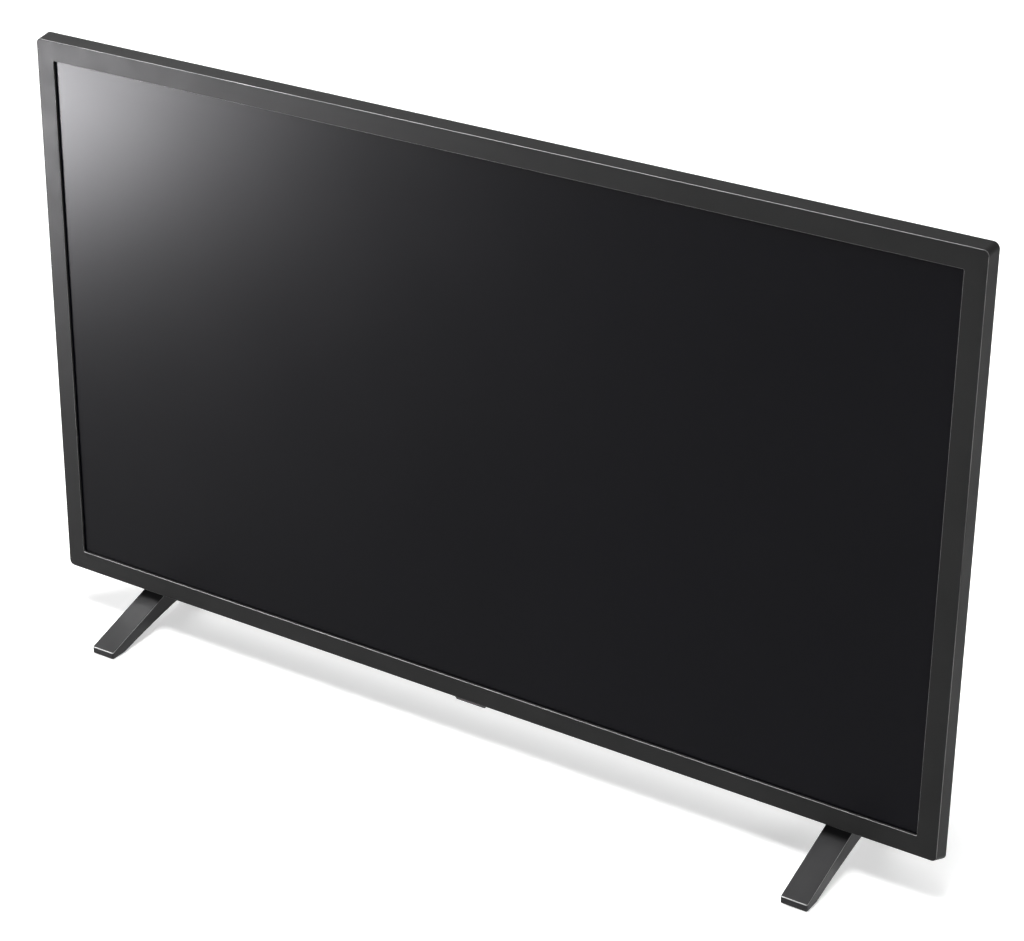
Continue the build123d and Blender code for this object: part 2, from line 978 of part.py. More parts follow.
power_sink_x = -board_middle_x + board_width / 5
power_sink_z = middle_z + board_height / 4
with BuildPart() as power_heat_sink:
    block(
        grown((power_sink_x, power_sink_x), power_sink_width / 2),
        (board_back, board_back + power_sink_height),
        (power_sink_z, power_sink_z + power_sink_thickness),
    )
    for step in (-1, 0, 1):
        sink_arm_x = power_sink_x + step * (power_sink_width - power_sink_thickness) / 2
        block(
            grown((sink_arm_x, sink_arm_x), power_sink_thickness / 2),
            (board_back, board_back + power_sink_height),
            (power_sink_z, power_sink_z + power_sink_height / 2),
        )
save(power_heat_sink, "power_heat_sink")

# Speaker boxes over the grilles, each with a driver that faces the floor
with BuildPart() as speaker_boxes:
    for side in (-1, 1):
        speaker_x = side * speaker_middle_x
        block(
            grown((speaker_x, speaker_x), speaker_width / 2),
            (speaker_front, speaker_front + speaker_depth),
            (speaker_bottom, speaker_bottom + speaker_height),
        )
    fillet(speaker_boxes.edges().filter_by(Axis.Y), speaker_wall * 2)
    for side in (-1, 1):
        speaker_x = side * speaker_middle_x
        block(
            grown((speaker_x, speaker_x), speaker_width / 2 - speaker_wall),
            grown((speaker_front, speaker_front + speaker_depth), -speaker_wall),
            grown((speaker_bottom, speaker_bottom + speaker_height), -speaker_wall),
            Mode.SUBTRACT,
        )
        with BuildSketch(Plane.XY.offset(speaker_bottom)) as driver_hole:
            with Locations((speaker_x, front_y + speaker_middle_depth)):
                SlotOverall(driver_width - 2 * driver_flange, driver_height - 2 * driver_flange)
        extrude(driver_hole.sketch, amount=speaker_wall, mode=Mode.SUBTRACT)
save(speaker_boxes, "speaker_boxes")


def driver_outline(height, x, inset):
    """The driver's long round-ended outline at a height, drawn this far inside its rim."""
    with BuildSketch(Plane.XY.offset(height)) as shape:
        with Locations((x, front_y + speaker_middle_depth)):
            SlotOverall(driver_width - 2 * inset, driver_height - 2 * inset)
    return shape.sketch


driver_bottom = speaker_bottom - driver_flange
basket_top = speaker_bottom + speaker_wall + magnet_height
with BuildPart() as speaker_drivers:
    for side in (-1, 1):
        speaker_x = side * speaker_middle_x
        extrude(driver_outline(driver_bottom, speaker_x, 0), amount=driver_flange)
        loft(
            [
                driver_outline(speaker_bottom, speaker_x, driver_flange + fit_gap),
                driver_outline(basket_top, speaker_x, driver_flange + cone_border + cone_depth),
            ]
        )
        loft(
            [
                driver_outline(driver_bottom, speaker_x, cone_border),
                driver_outline(
                    driver_bottom + cone_depth + cone_thickness + fit_gap,
                    speaker_x,
                    cone_border + cone_depth,
                ),
            ],
            mode=Mode.SUBTRACT,
        )
        with BuildSketch(Plane.XY.offset(basket_top)) as magnet_face:
            with Locations((speaker_x, front_y + speaker_middle_depth)):
                Circle(magnet_radius)
        extrude(magnet_face.sketch, amount=magnet_height)
save(speaker_drivers, "speaker_drivers")

with BuildPart() as speaker_cones:
    for side in (-1, 1):
        speaker_x = side * speaker_middle_x
        loft(
            [
                driver_outline(driver_bottom, speaker_x, cone_border),
                driver_outline(
                    driver_bottom + cone_depth + cone_thickness,
                    speaker_x,
                    cone_border + cone_depth,
                ),
            ]
        )
        loft(
            [
                driver_outline(driver_bottom, speaker_x, cone_border + cone_thickness),
                driver_outline(
                    driver_bottom + cone_depth,
                    speaker_x,
                    cone_border + cone_depth + cone_thickness,
                ),
            ],
            mode=Mode.SUBTRACT,
        )
save(speaker_cones, "speaker_cones")

# Rubber blocks between the speaker boxes and the metal tray
grommet_places = [
    (side * speaker_middle_x + across * speaker_width / 3,
     speaker_bottom + speaker_height / 2 + up * speaker_height / 4)
    for side in (-1, 1)
    for across in (-1, 1)
    for up in (-1, 1)
]
with BuildPart() as speaker_grommets:
    rods(grommet_places, chassis_back, speaker_stand_off, grommet_radius)
save(speaker_grommets, "speaker_grommets")

# Sensor unit under the lower edge: open shell, window, board and receiver
with BuildPart() as sensor_housing:
    block(
        (-bump_half_width, bump_half_width),
        (bump_front_depth, bump_back_depth),
        (bump_bottom, bump_top),
    )
    chamfer(
        sensor_housing.edges().filter_by(Axis.Y).group_by(Axis.Z)[0],
        bump_chamfer,
    )
    block(
        grown((-bump_half_width, bump_half_width), -bump_wall - bump_chamfer / 2),
        grown((bump_front_depth, bump_back_depth), -bump_wall),
        (bump_bottom + bump_wall, bump_top),
        Mode.SUBTRACT,
    )
    block(
        (-window_width / 2, window_width / 2),
        (bump_front_depth, bump_front_depth + bump_wall),
        (bump_bottom + bump_wall / 2, bump_bottom + bump_wall / 2 + window_height),
        Mode.SUBTRACT,
    )
    button_swing = (pivot_z - bump_bottom) * sin(radians(tilt_limit * sqrt(2)))
    with Locations((0, pivot_y, bump_bottom + bump_wall / 2)):
        Cylinder(button_radius + button_swing + slip_gap, bump_wall, mode=Mode.SUBTRACT)
save(sensor_housing, "sensor_housing")

with BuildPart() as sensor_window:
    block(
        (-window_width / 2, window_width / 2),
        (bump_front_depth, bump_front_depth + window_thickness),
        (bump_bottom + bump_wall / 2, bump_bottom + bump_wall / 2 + window_height),
    )
save(sensor_window, "sensor_window")

board_half_width = bump_half_width - bump_wall - bump_chamfer / 2 - fit_gap
with BuildPart() as sensor_board:
    block(
        (-board_half_width, board_half_width),
        grown((bump_front_depth, bump_back_depth), -bump_wall - fit_gap),
        (switch_top, switch_top + sensor_board_thickness),
    )
save(sensor_board, "sensor_board")

with BuildPart() as infrared_receiver:
    receiver_front = bump_front_depth + bump_wall + fit_gap
    block(
        (-board_half_width, -board_half_width + receiver_size),
        (receiver_front, receiver_front + receiver_height),
        (switch_top - receiver_size, switch_top),
    )
save(infrared_receiver, "infrared_receiver")

# Joystick: a post that is pressed up, a cross that tilts on it and a button that tilts on that
lug_middle = lug_reach + lug_thickness / 2
with BuildPart() as joystick_switch:
    with Locations((0, pivot_y, (switch_bottom + switch_top) / 2)):
        Box(switch_size, switch_size, switch_top - switch_bottom)
        Box(
            post_size + 2 * slide_gap,
            post_size + 2 * slide_gap,
            switch_top - switch_bottom,
            mode=Mode.SUBTRACT,
        )
save(joystick_switch, "joystick_switch")

yoke_bottom = pivot_z + yoke_rise
yoke_top = yoke_bottom + yoke_height
post_top = yoke_top + post_length
with BuildPart() as joystick_post:
    with Locations((0, pivot_y, (yoke_bottom + yoke_top) / 2)):
        Box(2 * (lug_reach + lug_thickness), lug_width, yoke_top - yoke_bottom)
    with Locations((0, pivot_y, (yoke_top + post_top) / 2)):
        Box(post_size, post_size, post_top - yoke_top)
    with Locations(
        (-lug_middle, pivot_y, (pivot_z - lug_end + yoke_bottom) / 2),
        (lug_middle, pivot_y, (pivot_z - lug_end + yoke_bottom) / 2),
    ):
        Box(lug_thickness, lug_width, yoke_bottom - pivot_z + lug_end)
    with BuildSketch(Plane.YZ.offset(-lug_middle - lug_thickness)) as pin_way:
        with Locations((pivot_y, pivot_z)):
            Circle(cross_pin_radius + pin_gap)
    extrude(pin_way.sketch, amount=2 * (lug_middle + lug_thickness), mode=Mode.SUBTRACT)
save(joystick_post, "joystick_post")

pin_length = 2 * (lug_reach + lug_thickness)
with BuildPart() as joystick_cross:
    with Locations((0, pivot_y, pivot_z)):
        Box(cross_size, cross_size, cross_size)
        Cylinder(cross_pin_radius, pin_length, rotation=(0, 90, 0))
        Cylinder(cross_pin_radius, pin_length, rotation=(90, 0, 0))
save(joystick_cross, "joystick_cross")

ball_edge = pivot_z - ball_edge_rise
ball_floor = pivot_z - ball_radius + 2 * ball_wall
with BuildPart() as joystick_button:
    with Locations((0, pivot_y, pivot_z)):
        Sphere(ball_radius)
        Sphere(ball_radius - ball_wall, mode=Mode.SUBTRACT)
    with Locations((0, pivot_y, ball_edge + ball_radius)):
        Box(2 * ball_radius, 2 * ball_radius, 2 * ball_radius, mode=Mode.SUBTRACT)
    button_bottom = bump_bottom - button_proud
    with Locations((0, pivot_y, (button_bottom + ball_floor) / 2)):
        Cylinder(button_radius, ball_floor - button_bottom)
    fillet(joystick_button.faces().sort_by(Axis.Z)[0].edges(), button_proud / 3)
    with Locations(
        (0, pivot_y - lug_middle, (ball_floor + pivot_z + lug_end) / 2),
        (0, pivot_y + lug_middle, (ball_floor + pivot_z + lug_end) / 2),
    ):
        Box(lug_width, lug_thickness, pivot_z + lug_end - ball_floor)
    with BuildSketch(Plane.XZ.offset(-(pivot_y + lug_middle + lug_thickness))) as pin_way:
        with Locations((0, pivot_z)):
            Circle(cross_pin_radius + pin_gap)
    extrude(pin_way.sketch, amount=2 * (lug_middle + lug_thickness), mode=Mode.SUBTRACT)
save(joystick_button, "joystick_button")

# Pillars on the tray with the threads for a wall bracket
with BuildPart() as wall_mount_pillars:
    rods(wall_holes, chassis_back, back_depth - chassis_back, pillar_radius)
    rods(
        wall_holes,
        back_depth - wall_thread_depth,
        wall_thread_depth,
        wall_thread_radius,
        Mode.SUBTRACT,
    )
save(wall_mount_pillars, "wall_mount_pillars")

# Hollows in the cover: the two socket bays, the inlet bay and the sleeves for the feet
bay_floor = upright_front - fit_gap
sleeve_places = (-foot_middle_x, foot_middle_x)
bays = [
    (
        (port_wall_x, bulge_half_width + overrun),
        (slim_depth, back_depth + overrun),
        grown((middle_z, middle_z), side_bay_height / 2),
    ),
    (
        (lan_x - rear_bay_margin, aerial_x + rear_bay_margin),
        (bay_floor, back_depth + overrun),
        grown((upright_row_z, upright_row_z), rear_bay_height / 2),
    ),
    (
        grown((inlet_x, inlet_x), inlet_width / 2 + inlet_bay_margin),
        (bay_floor, back_depth + overrun),
        grown((upright_row_z, upright_row_z), inlet_height / 2 + inlet_bay_margin),
    ),
] + [
    (
        grown((sleeve_x, sleeve_x), foot_width / 2 + fit_gap),
        grown((tongue_front, tongue_back), fit_gap),
        (tongue_bottom - overrun, tongue_top + fit_gap),
    )
    for sleeve_x in sleeve_places
]
foot_screws = [(x, z) for x in sleeve_places for z in foot_screw_heights]

with BuildPart() as cover_hollow:
    loft(
        [
            square_outline(edge_depth, rim_inner_width, rim_inner_bottom, rim_inner_top),
            square_outline(
                slim_depth - cover_wall,
                slim_width - 2 * cover_wall,
                slim_bottom + cover_wall,
                slim_top - cover_wall,
            ),
        ],
        ruled=True,
    )
    loft(
        [
            outline(
                slim_depth - cover_wall,
                2 * (bulge_half_width - cover_wall),
                bulge_bottom + cover_wall,
                bulge_top - cover_wall,
                bulge_corner - cover_wall,
            ),
            outline(
                back_depth - cover_wall,
                2 * (bulge_half_width - bulge_side_slope - cover_wall),
                bulge_bottom + bulge_bottom_slope + cover_wall,
                bulge_top - bulge_top_slope - cover_wall,
                bulge_corner - cover_wall,
            ),
        ],
        ruled=True,
    )
    fillet(cover_hollow.faces().sort_by(Axis.Y)[-1].edges(), bulge_round - cover_wall)
    for bay in bays:
        block(*(grown(limits, cover_wall) for limits in bay), Mode.SUBTRACT)
    rods(
        foot_screws,
        sleeve_back - cover_wall,
        back_depth - sleeve_back + cover_wall,
        foot_tunnel_radius + cover_wall,
        Mode.SUBTRACT,
    )
    rods(
        cover_screws,
        chassis_back,
        slim_depth - chassis_back,
        cover_boss_radius,
        Mode.SUBTRACT,
    )

with BuildPart() as cover_bulge:
    loft(
        [
            outline(slim_depth, 2 * bulge_half_width, bulge_bottom, bulge_top, bulge_corner),
            outline(
                back_depth,
                2 * (bulge_half_width - bulge_side_slope),
                bulge_bottom + bulge_bottom_slope,
                bulge_top - bulge_top_slope,
                bulge_corner,
            ),
        ],
        ruled=True,
    )
    fillet(cover_bulge.faces().sort_by(Axis.Y)[-1].edges(), bulge_round)


def slots(xs, depth, z_range, slot, length):
    """Slots through the cover's upper or lower wall, in a row of x places."""
    with BuildSketch(Plane.XY.offset(z_range[0])) as openings:
        with Locations(*((x, front_y + depth) for x in xs)):
            SlotOverall(length, slot, rotation=90)
    extrude(openings.sketch, amount=z_range[1] - z_range[0], mode=Mode.SUBTRACT)


# Rear cover: sloping border, deeper middle part, bays, sleeves, vents and screw bosses
bulge_middle_depth = (slim_depth + back_depth) / 2
side_windows = [(z, video_width, video_height) for z in video_places]
side_windows += [(z, data_width, data_height) for z in data_places]
back_windows = (
    (lan_x, lan_width, lan_height),
    (optical_x, optical_size, optical_size),
    (audio_x, audio_size, audio_size),
    (aerial_x, aerial_size, aerial_size),
    (inlet_x, inlet_width, inlet_height),
)
vent_places = [(step - (vent_count - 1) / 2) * vent_pitch for step in range(vent_count)]
grille_places = [
    side * speaker_middle_x + (step - (grille_count - 1) / 2) * grille_pitch
    for side in (-1, 1)
    for step in range(grille_count)
]
intake_places = [
    (step - (grille_count - 1) / 2) * vent_pitch for step in range(grille_count)
]
with BuildPart() as rear_cover:
    loft(
        [
            outline(edge_depth, rear_width, rear_bottom, rear_top, rear_corner),
            outline(slim_depth, slim_width, slim_bottom, slim_top, rear_corner),
        ],
        ruled=True,
    )
    fillet(rear_cover.faces().sort_by(Axis.Y)[-1].edges(), slim_round)
    extrude(
        square_outline(
            rim_front,
            inner_width - 2 * fit_gap,
            inner_bottom + fit_gap,
            inner_top - fit_gap,
        ),
        amount=-rim_depth,
    )
    add(cover_bulge.part)
    extrude(
        square_outline(rim_front, rim_inner_width, rim_inner_bottom, rim_inner_top),
        amount=-rim_depth,
        mode=Mode.SUBTRACT,
    )
    add(cover_hollow.part, mode=Mode.SUBTRACT)
    for bay in bays:
        block(*bay, Mode.SUBTRACT)
    for window_z, width, height in side_windows:
        block(
            (port_wall_x - 2 * cover_wall, port_wall_x + cover_wall),
            grown((board_back, board_back + height), slip_gap),
            grown((window_z, window_z), width / 2 + slip_gap),
            Mode.SUBTRACT,
        )
    for window_x, width, height in back_windows:
        block(
            grown((window_x, window_x), width / 2 + slip_gap),
            (bay_floor - 2 * cover_wall, bay_floor + cover_wall),
            grown((upright_row_z, upright_row_z), height / 2 + slip_gap),
            Mode.SUBTRACT,
        )
    block(
        bump_cut_x,
        (rim_front - fit_gap, bump_back_depth + fit_gap),
        (bump_bottom, bump_cut_top),
        Mode.SUBTRACT,
    )
    rods(
        wall_holes,
        back_depth - 2 * cover_wall,
        3 * cover_wall,
        pillar_radius + slip_gap,
        Mode.SUBTRACT,
    )
    rods(
        foot_screws,
        sleeve_back,
        back_depth - sleeve_back + overrun,
        foot_tunnel_radius,
        Mode.SUBTRACT,
    )
    rods(
        foot_screws,
        sleeve_front - cover_wall,
        sleeve_back - sleeve_front + 2 * cover_wall,
        foot_screw_radius + slide_gap,
        Mode.SUBTRACT,
    )
    rods(
        cover_screws,
        slim_depth - cover_counterbore_depth,
        cover_counterbore_depth + cover_wall,
        cover_screw_head + slip_gap,
        Mode.SUBTRACT,
    )
    rods(
        cover_screws,
        chassis_back,
        slim_depth - chassis_back,
        cover_screw_radius + slide_gap,
        Mode.SUBTRACT,
    )
    slots(
        vent_places,
        bulge_middle_depth,
        (bulge_top - bulge_top_slope - 2 * cover_wall, slim_top),
        vent_slot,
        vent_length,
    )
    for places in (grille_places, intake_places):
        slots(
            places,
            speaker_middle_depth,
            (bulge_bottom - overrun, bulge_bottom + bulge_bottom_slope + cover_wall),
            grille_slot,
            grille_length,
        )
save(rear_cover, "rear_cover")

# Screws that hold the cover to the tray
cover_seat = slim_depth - cover_counterbore_depth
with BuildPart() as cover_screw_set:
    rods(cover_screws, chassis_front, cover_seat - chassis_front, cover_screw_radius)
    rods(cover_screws, cover_seat, cover_screw_head_height, cover_screw_head)
    screw_drives(cover_screws, cover_seat + cover_screw_head_height, cover_screw_head)
save(cover_screw_set, "cover_screws")

# Metal brackets that the feet are screwed to
bracket_middle = tongue_bottom + tongue_height / 2
with BuildPart() as foot_brackets:
    for sleeve_x in sleeve_places:
        block(
            grown((sleeve_x, sleeve_x), bracket_width / 2),
            (chassis_back, sleeve_front),
            grown((bracket_middle, bracket_middle), bracket_height / 2),
        )
        block(
            grown((sleeve_x, sleeve_x), bracket_width / 2 - bracket_thickness),
            (chassis_back, sleeve_front - bracket_thickness),
            grown((bracket_middle, bracket_middle), bracket_height / 2),
            Mode.SUBTRACT,
        )
    rods(
        foot_screws,
        sleeve_front - bracket_thickness,
        bracket_thickness,
        foot_screw_radius,
        Mode.SUBTRACT,
    )
save(foot_brackets, "foot_brackets")

# Feet: a shallow arch from toe to heel with a neck and a tongue that goes up into the cover
heel_depth = foot_length - toe_reach
arch_depth = heel_depth - foot_length / 2
for foot_name, side in (("foot_left", -1), ("foot_right", 1)):
    foot_x = side * foot_middle_x
    with BuildPart() as foot:
        with BuildSketch(Plane.YZ.offset(foot_x)) as foot_side:
            with BuildLine():
                Polyline(
                    (front_y + arch_depth, arch_height),
                    (front_y + arch_depth, toe_height + arm_rise),
                    (front_y - toe_reach, toe_height),
                    (front_y - toe_reach, pad_proud),
                    (front_y - toe_reach + toe_flat, pad_proud),
                )
                chord = foot_length / 2 - toe_flat
                ThreePointArc(
                    (front_y - toe_reach + toe_flat, pad_proud),
                    (
                        front_y - toe_reach + toe_flat + chord / 2,
                        (pad_proud + arch_height) / 2 + arch_bow_share * arch_height,
                    ),
                    (front_y + arch_depth, arch_height),
                )
            make_face()
            mirror(about=Plane.YZ.offset(front_y + arch_depth))
        extrude(foot_side.sketch, amount=foot_width / 2, both=True)
        fillet(foot.edges().filter_by(Axis.Z), toe_round)
        fillet(
            foot.faces().filter_by(Axis.X).edges().filter_by(Axis.Z, reverse=True),
            foot_edge_round,
        )
        block(
            grown((foot_x, foot_x), foot_width / 2),
            grown((neck_centre_depth, neck_centre_depth), neck_length / 2),
            (arch_height + foot_edge_round, tongue_bottom - fit_gap),
        )
        block(
            grown((foot_x, foot_x), foot_width / 2),
            (tongue_front, tongue_back),
            (arch_height + foot_edge_round, tongue_top),
        )
        rods(
            [(foot_x, z) for z in foot_screw_heights],
            tongue_front,
            tongue_length,
            foot_screw_radius + slide_gap,
            Mode.SUBTRACT,
        )
        for pad_depth in (-toe_reach + toe_flat / 2, heel_depth - toe_flat / 2):
            block(
                grown((foot_x, foot_x), pad_width / 2),
                grown((pad_depth, pad_depth), pad_length / 2),
                (0, pad_thickness),
                Mode.SUBTRACT,
            )
    save(foot, foot_name)

with BuildPart() as foot_pads:
    for sleeve_x in sleeve_places:
        for pad_depth in (-toe_reach + toe_flat / 2, heel_depth - toe_flat / 2):
            block(
                grown((sleeve_x, sleeve_x), pad_width / 2),
                grown((pad_depth, pad_depth), pad_length / 2),
                (0, pad_thickness),
            )
save(foot_pads, "foot_pads")

foot_screw_end = sleeve_front - bracket_thickness - foot_screw_thread
with BuildPart() as foot_screw_set:
    rods(foot_screws, foot_screw_end, sleeve_back - foot_screw_end, foot_screw_radius)
    rods(foot_screws, sleeve_back, foot_screw_head_height, foot_screw_head)
    screw_drives(foot_screws, sleeve_back + foot_screw_head_height, foot_screw_head)
save(foot_screw_set, "foot_screws")


def run_lead(points, radius, bend):
    """A round lead along straight runs joined by arcs."""
    with BuildLine() as route:
        FilletPolyline(*points, radius=bend)
    with BuildSketch(Plane(origin=route.line @ 0, z_dir=route.line % 0)) as section:
        Circle(radius)
    sweep(section.sketch, path=route.line)


# Plugs on the boards and the leads between them
plug_y = front_y + board_back + plug_height / 2
plug_side = plug_size / 2
link_z = middle_z + board_height / 5
lamp_plug_x = -board_middle_x + board_width / 3
edge_plug_z = board_bottom + plug_size
speaker_plug_xs = (board_gap + 2 * plug_size, board_gap + 4 * plug_size)
sensor_plug_x = board_gap + 6 * plug_size
link_x = board_gap + 2 * plug_size
plug_places = [
    (-link_x, link_z),
    (link_x, link_z),
    (lamp_plug_x, board_top - plug_size),
    (speaker_plug_xs[0], edge_plug_z),
    (speaker_plug_xs[1], edge_plug_z),
    (sensor_plug_x, edge_plug_z),
]
ribbon_x = source_board_middle_x
ribbon_top = board_bottom + plug_size
source_board_top = tray_bottom + source_board_rise + source_board_height
source_board_back = chassis_back + source_board_thickness
with BuildPart() as board_plugs:
    for plug_x, plug_z in plug_places:
        block(
            grown((plug_x, plug_x), plug_side),
            (board_back, board_back + plug_height),
            grown((plug_z, plug_z), plug_side),
        )
    block(
        grown((ribbon_x, ribbon_x), ribbon_width / 2 + ribbon_thickness),
        (board_back, board_back + plug_height / 2),
        (ribbon_top, ribbon_top + plug_side),
    )
    block(
        grown((ribbon_x, ribbon_x), ribbon_width / 2 + ribbon_thickness),
        (source_board_back, source_board_back + plug_height / 3),
        (source_board_top - plug_side - plug_side / 2, source_board_top - plug_side / 2),
    )
save(board_plugs, "board_plugs")

with BuildPart() as power_lead:
    run_lead(
        [
            (-link_x + plug_side, plug_y, link_z),
            (-link_x + 2 * plug_size, plug_y, link_z),
            (-board_gap / 3, plug_y + lead_bend / 2, link_z - lead_bend),
            (board_gap / 3, plug_y + lead_bend / 2, link_z - lead_bend),
            (link_x - 2 * plug_size, plug_y, link_z),
            (link_x - plug_side, plug_y, link_z),
        ],
        lead_radius,
        lead_bend,
    )
save(power_lead, "power_lead")

with BuildPart() as lamp_lead:
    run_lead(
        [
            (lamp_plug_x, plug_y, board_top - plug_side),
            (lamp_plug_x, plug_y, board_top + 2 * lead_bend),
            (lamp_plug_x, front_y + chassis_back, board_top + 2 * lead_bend),
        ],
        lead_radius,
        lead_bend,
    )
save(lamp_lead, "lamp_lead")

speaker_lead_z = speaker_bottom + speaker_lead_share * speaker_height
speaker_lead_y = front_y + speaker_middle_depth
with BuildPart() as speaker_leads:
    for side, plug_x in zip((-1, 1), speaker_plug_xs):
        run_lead(
            [
                (side * (speaker_middle_x - speaker_width / 2), speaker_lead_y, speaker_lead_z),
                (plug_x + side * plug_size, speaker_lead_y, speaker_lead_z),
                (plug_x, plug_y, board_bottom - 2 * lead_bend),
                (plug_x, plug_y, edge_plug_z - plug_side),
            ],
            lead_radius,
            lead_bend,
        )
save(speaker_leads, "speaker_leads")

sensor_lead_x = board_half_width / 2
sensor_lead_y = front_y + bump_back_depth - bump_wall - fit_gap - lead_radius
lead_space_y = front_y + chassis_back + 3 * lead_radius
with BuildPart() as sensor_lead:
    run_lead(
        [
            (sensor_lead_x, sensor_lead_y, switch_top + sensor_board_thickness),
            (sensor_lead_x, sensor_lead_y, tray_bottom - 2 * lead_tight_bend),
            (sensor_lead_x, lead_space_y, tray_bottom + lead_radius),
            (sensor_lead_x, lead_space_y, tray_bottom + source_board_height * 2),
            (sensor_plug_x, lead_space_y, board_bottom - 3 * lead_bend),
            (sensor_plug_x, plug_y, board_bottom - lead_bend),
            (sensor_plug_x, plug_y, edge_plug_z - plug_side),
        ],
        lead_radius,
        lead_tight_bend,
    )
save(sensor_lead, "sensor_lead")

# Flat cable from the main board down to a source board
with BuildPart() as panel_ribbon:
    with BuildSketch(Plane.YZ.offset(ribbon_x - ribbon_width / 2)) as ribbon_section:
        with BuildLine():
            FilletPolyline(
                (plug_y - plug_height / 4, ribbon_top),
                (plug_y - plug_height / 4, board_bottom - ribbon_bend),
                (front_y + source_board_back + plug_height / 6, board_bottom - plug_size * 2),
                (front_y + source_board_back + plug_height / 6, source_board_top - plug_size / 4),
                radius=ribbon_bend,
            )
        trace(line_width=ribbon_thickness)
    extrude(ribbon_section.sketch, amount=ribbon_width)
save(panel_ribbon, "panel_ribbon")
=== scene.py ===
import json
import math
import random
import bmesh
import bpy
from mathutils import Matrix, Vector


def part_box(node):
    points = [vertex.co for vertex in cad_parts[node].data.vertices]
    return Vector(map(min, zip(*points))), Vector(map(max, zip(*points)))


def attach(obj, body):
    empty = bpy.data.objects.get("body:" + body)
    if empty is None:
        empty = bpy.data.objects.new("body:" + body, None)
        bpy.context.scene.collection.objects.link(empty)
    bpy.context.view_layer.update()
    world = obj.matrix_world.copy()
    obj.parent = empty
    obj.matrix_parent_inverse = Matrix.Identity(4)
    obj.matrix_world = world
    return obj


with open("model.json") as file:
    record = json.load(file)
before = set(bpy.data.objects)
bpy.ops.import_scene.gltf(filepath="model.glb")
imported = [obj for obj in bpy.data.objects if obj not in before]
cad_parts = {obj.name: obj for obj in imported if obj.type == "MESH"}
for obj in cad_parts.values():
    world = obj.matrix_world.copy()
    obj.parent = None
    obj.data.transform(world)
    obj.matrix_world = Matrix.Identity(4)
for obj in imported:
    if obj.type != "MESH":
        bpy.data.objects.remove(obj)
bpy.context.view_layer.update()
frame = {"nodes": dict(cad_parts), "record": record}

MM = 0.001

# Camera, from the corners of the set in the photograph. Metres and degrees.
camera_place = (0.94481, -1.47395, 1.07337)
camera_tilt = 24.96
camera_turn = 33.65
camera_lens = 98.48
camera_shift = (0.0602, -0.0733)

# Studio
floor_half = 30.0
floor_colour = (0.8, 0.8, 0.8)
floor_glow = 0.51
far_floor_glow = 1.0
near_floor = 1.2
far_floor = 4.0
room_level = 0.12
horizon_low = 0.06
horizon_high = 0.3
white_level = 1.0

# Strip on the glass round the picture
cell_overlap = 3.2 * MM
border_width = 0.9 * MM
border_height = 0.35 * MM
border_bevel = 0.12 * MM

# Skin of painted highlight, a light grey, on the edges that catch the light
weld = 0.001 * MM
skin_proud = 0.03 * MM
skin_thickness = 0.06 * MM

# Which faces of a rounded edge take the painted highlight skin, by the parts of their normals
edge_reach = 0.6 * MM
frame_edge_turn = (0.55, 0.85)
corner_turn = (0.6, 0.8)
foot_edge_turn = (0.55, 0.85)
toe_reach = 2 * MM

# Rounding of the small pieces
sharp_turn = 1
small_bevel = 0.1 * MM
tiny_bevel = 0.05 * MM

# Contacts in the sockets
side_socket_pitch = 22 * MM
strip_setback = 1.2 * MM
strip_lift = 0.05 * MM
strip_bevel = 0.02 * MM
video_middle = 3.1 * MM
video_tongue = 1.2 * MM
data_middle = 3.6 * MM
data_tongue = 1.8 * MM
wire_pitch = 1.02 * MM
wire_half = 0.2 * MM
wire_count = 8
wire_slope = -24
wire_height = 0.9 * MM
wire_ends = (11.5 * MM, 3.5 * MM)

# Shutter of the optical socket
shutter_half = 2.8 * MM
shutter_setback = 1.0 * MM
shutter_thickness = 0.9 * MM
rib_margin = 0.6 * MM
rib_height = 0.5 * MM
rib_proud = 0.3 * MM
rib_sunk = 0.2 * MM

# Rows of small parts on both boards
row_stretches = ((28 * MM, 186 * MM), (-190 * MM, -30 * MM))
row_count = 5
row_level = 200 * MM
row_pitch = 5.5 * MM
part_lengths = (1.6, 2.0, 3.2)
part_gaps = (1.5, 3.0, 6.0)
half_width_share = 0.28


def aim(place, target):
    """The turn that makes a lamp at a place shine at a target."""
    return (Vector(target) - Vector(place)).to_track_quat("-Z", "Y").to_euler()


def add_camera():
    """The camera at the photograph's viewing angle."""
    data = bpy.data.cameras.new("studio_camera")
    data.sensor_width = 36.0
    data.lens = camera_lens
    data.shift_x, data.shift_y = camera_shift
    data.clip_end = 100.0
    camera = bpy.data.objects.new("studio_camera", data)
    camera.location = camera_place
    camera.rotation_euler = (math.radians(90 - camera_tilt), 0, math.radians(camera_turn))
    bpy.context.collection.objects.link(camera)
    bpy.context.scene.camera = camera


def add_softbox(name, place, target, size, power, gloss=True, fill=True, tint=(1, 1, 1)):
    """A soft lamp. Without gloss it shows in no reflection, without fill it shows only there."""
    data = bpy.data.lights.new(name, "AREA")
    data.shape = "RECTANGLE"
    data.size, data.size_y = size
    data.energy = power
    data.color = tint
    lamp = bpy.data.objects.new(name, data)
    lamp.location = place
    lamp.rotation_euler = aim(place, target)
    lamp.visible_camera = False
    lamp.visible_glossy = gloss
    lamp.visible_diffuse = fill
    bpy.context.collection.objects.link(lamp)


def background_rays(tree):
    """1 for a ray of the camera, of a reflection or through clear plastic, and 0 for any other."""
    path = tree.nodes.new("ShaderNodeLightPath")
    total = path.outputs["Is Camera Ray"]
    for kind in ("Is Glossy Ray", "Is Transmission Ray"):
        larger = tree.nodes.new("ShaderNodeMath")
        larger.operation = "MAXIMUM"
        tree.links.new(total, larger.inputs[0])
        tree.links.new(path.outputs[kind], larger.inputs[1])
        total = larger.outputs[0]
    return total


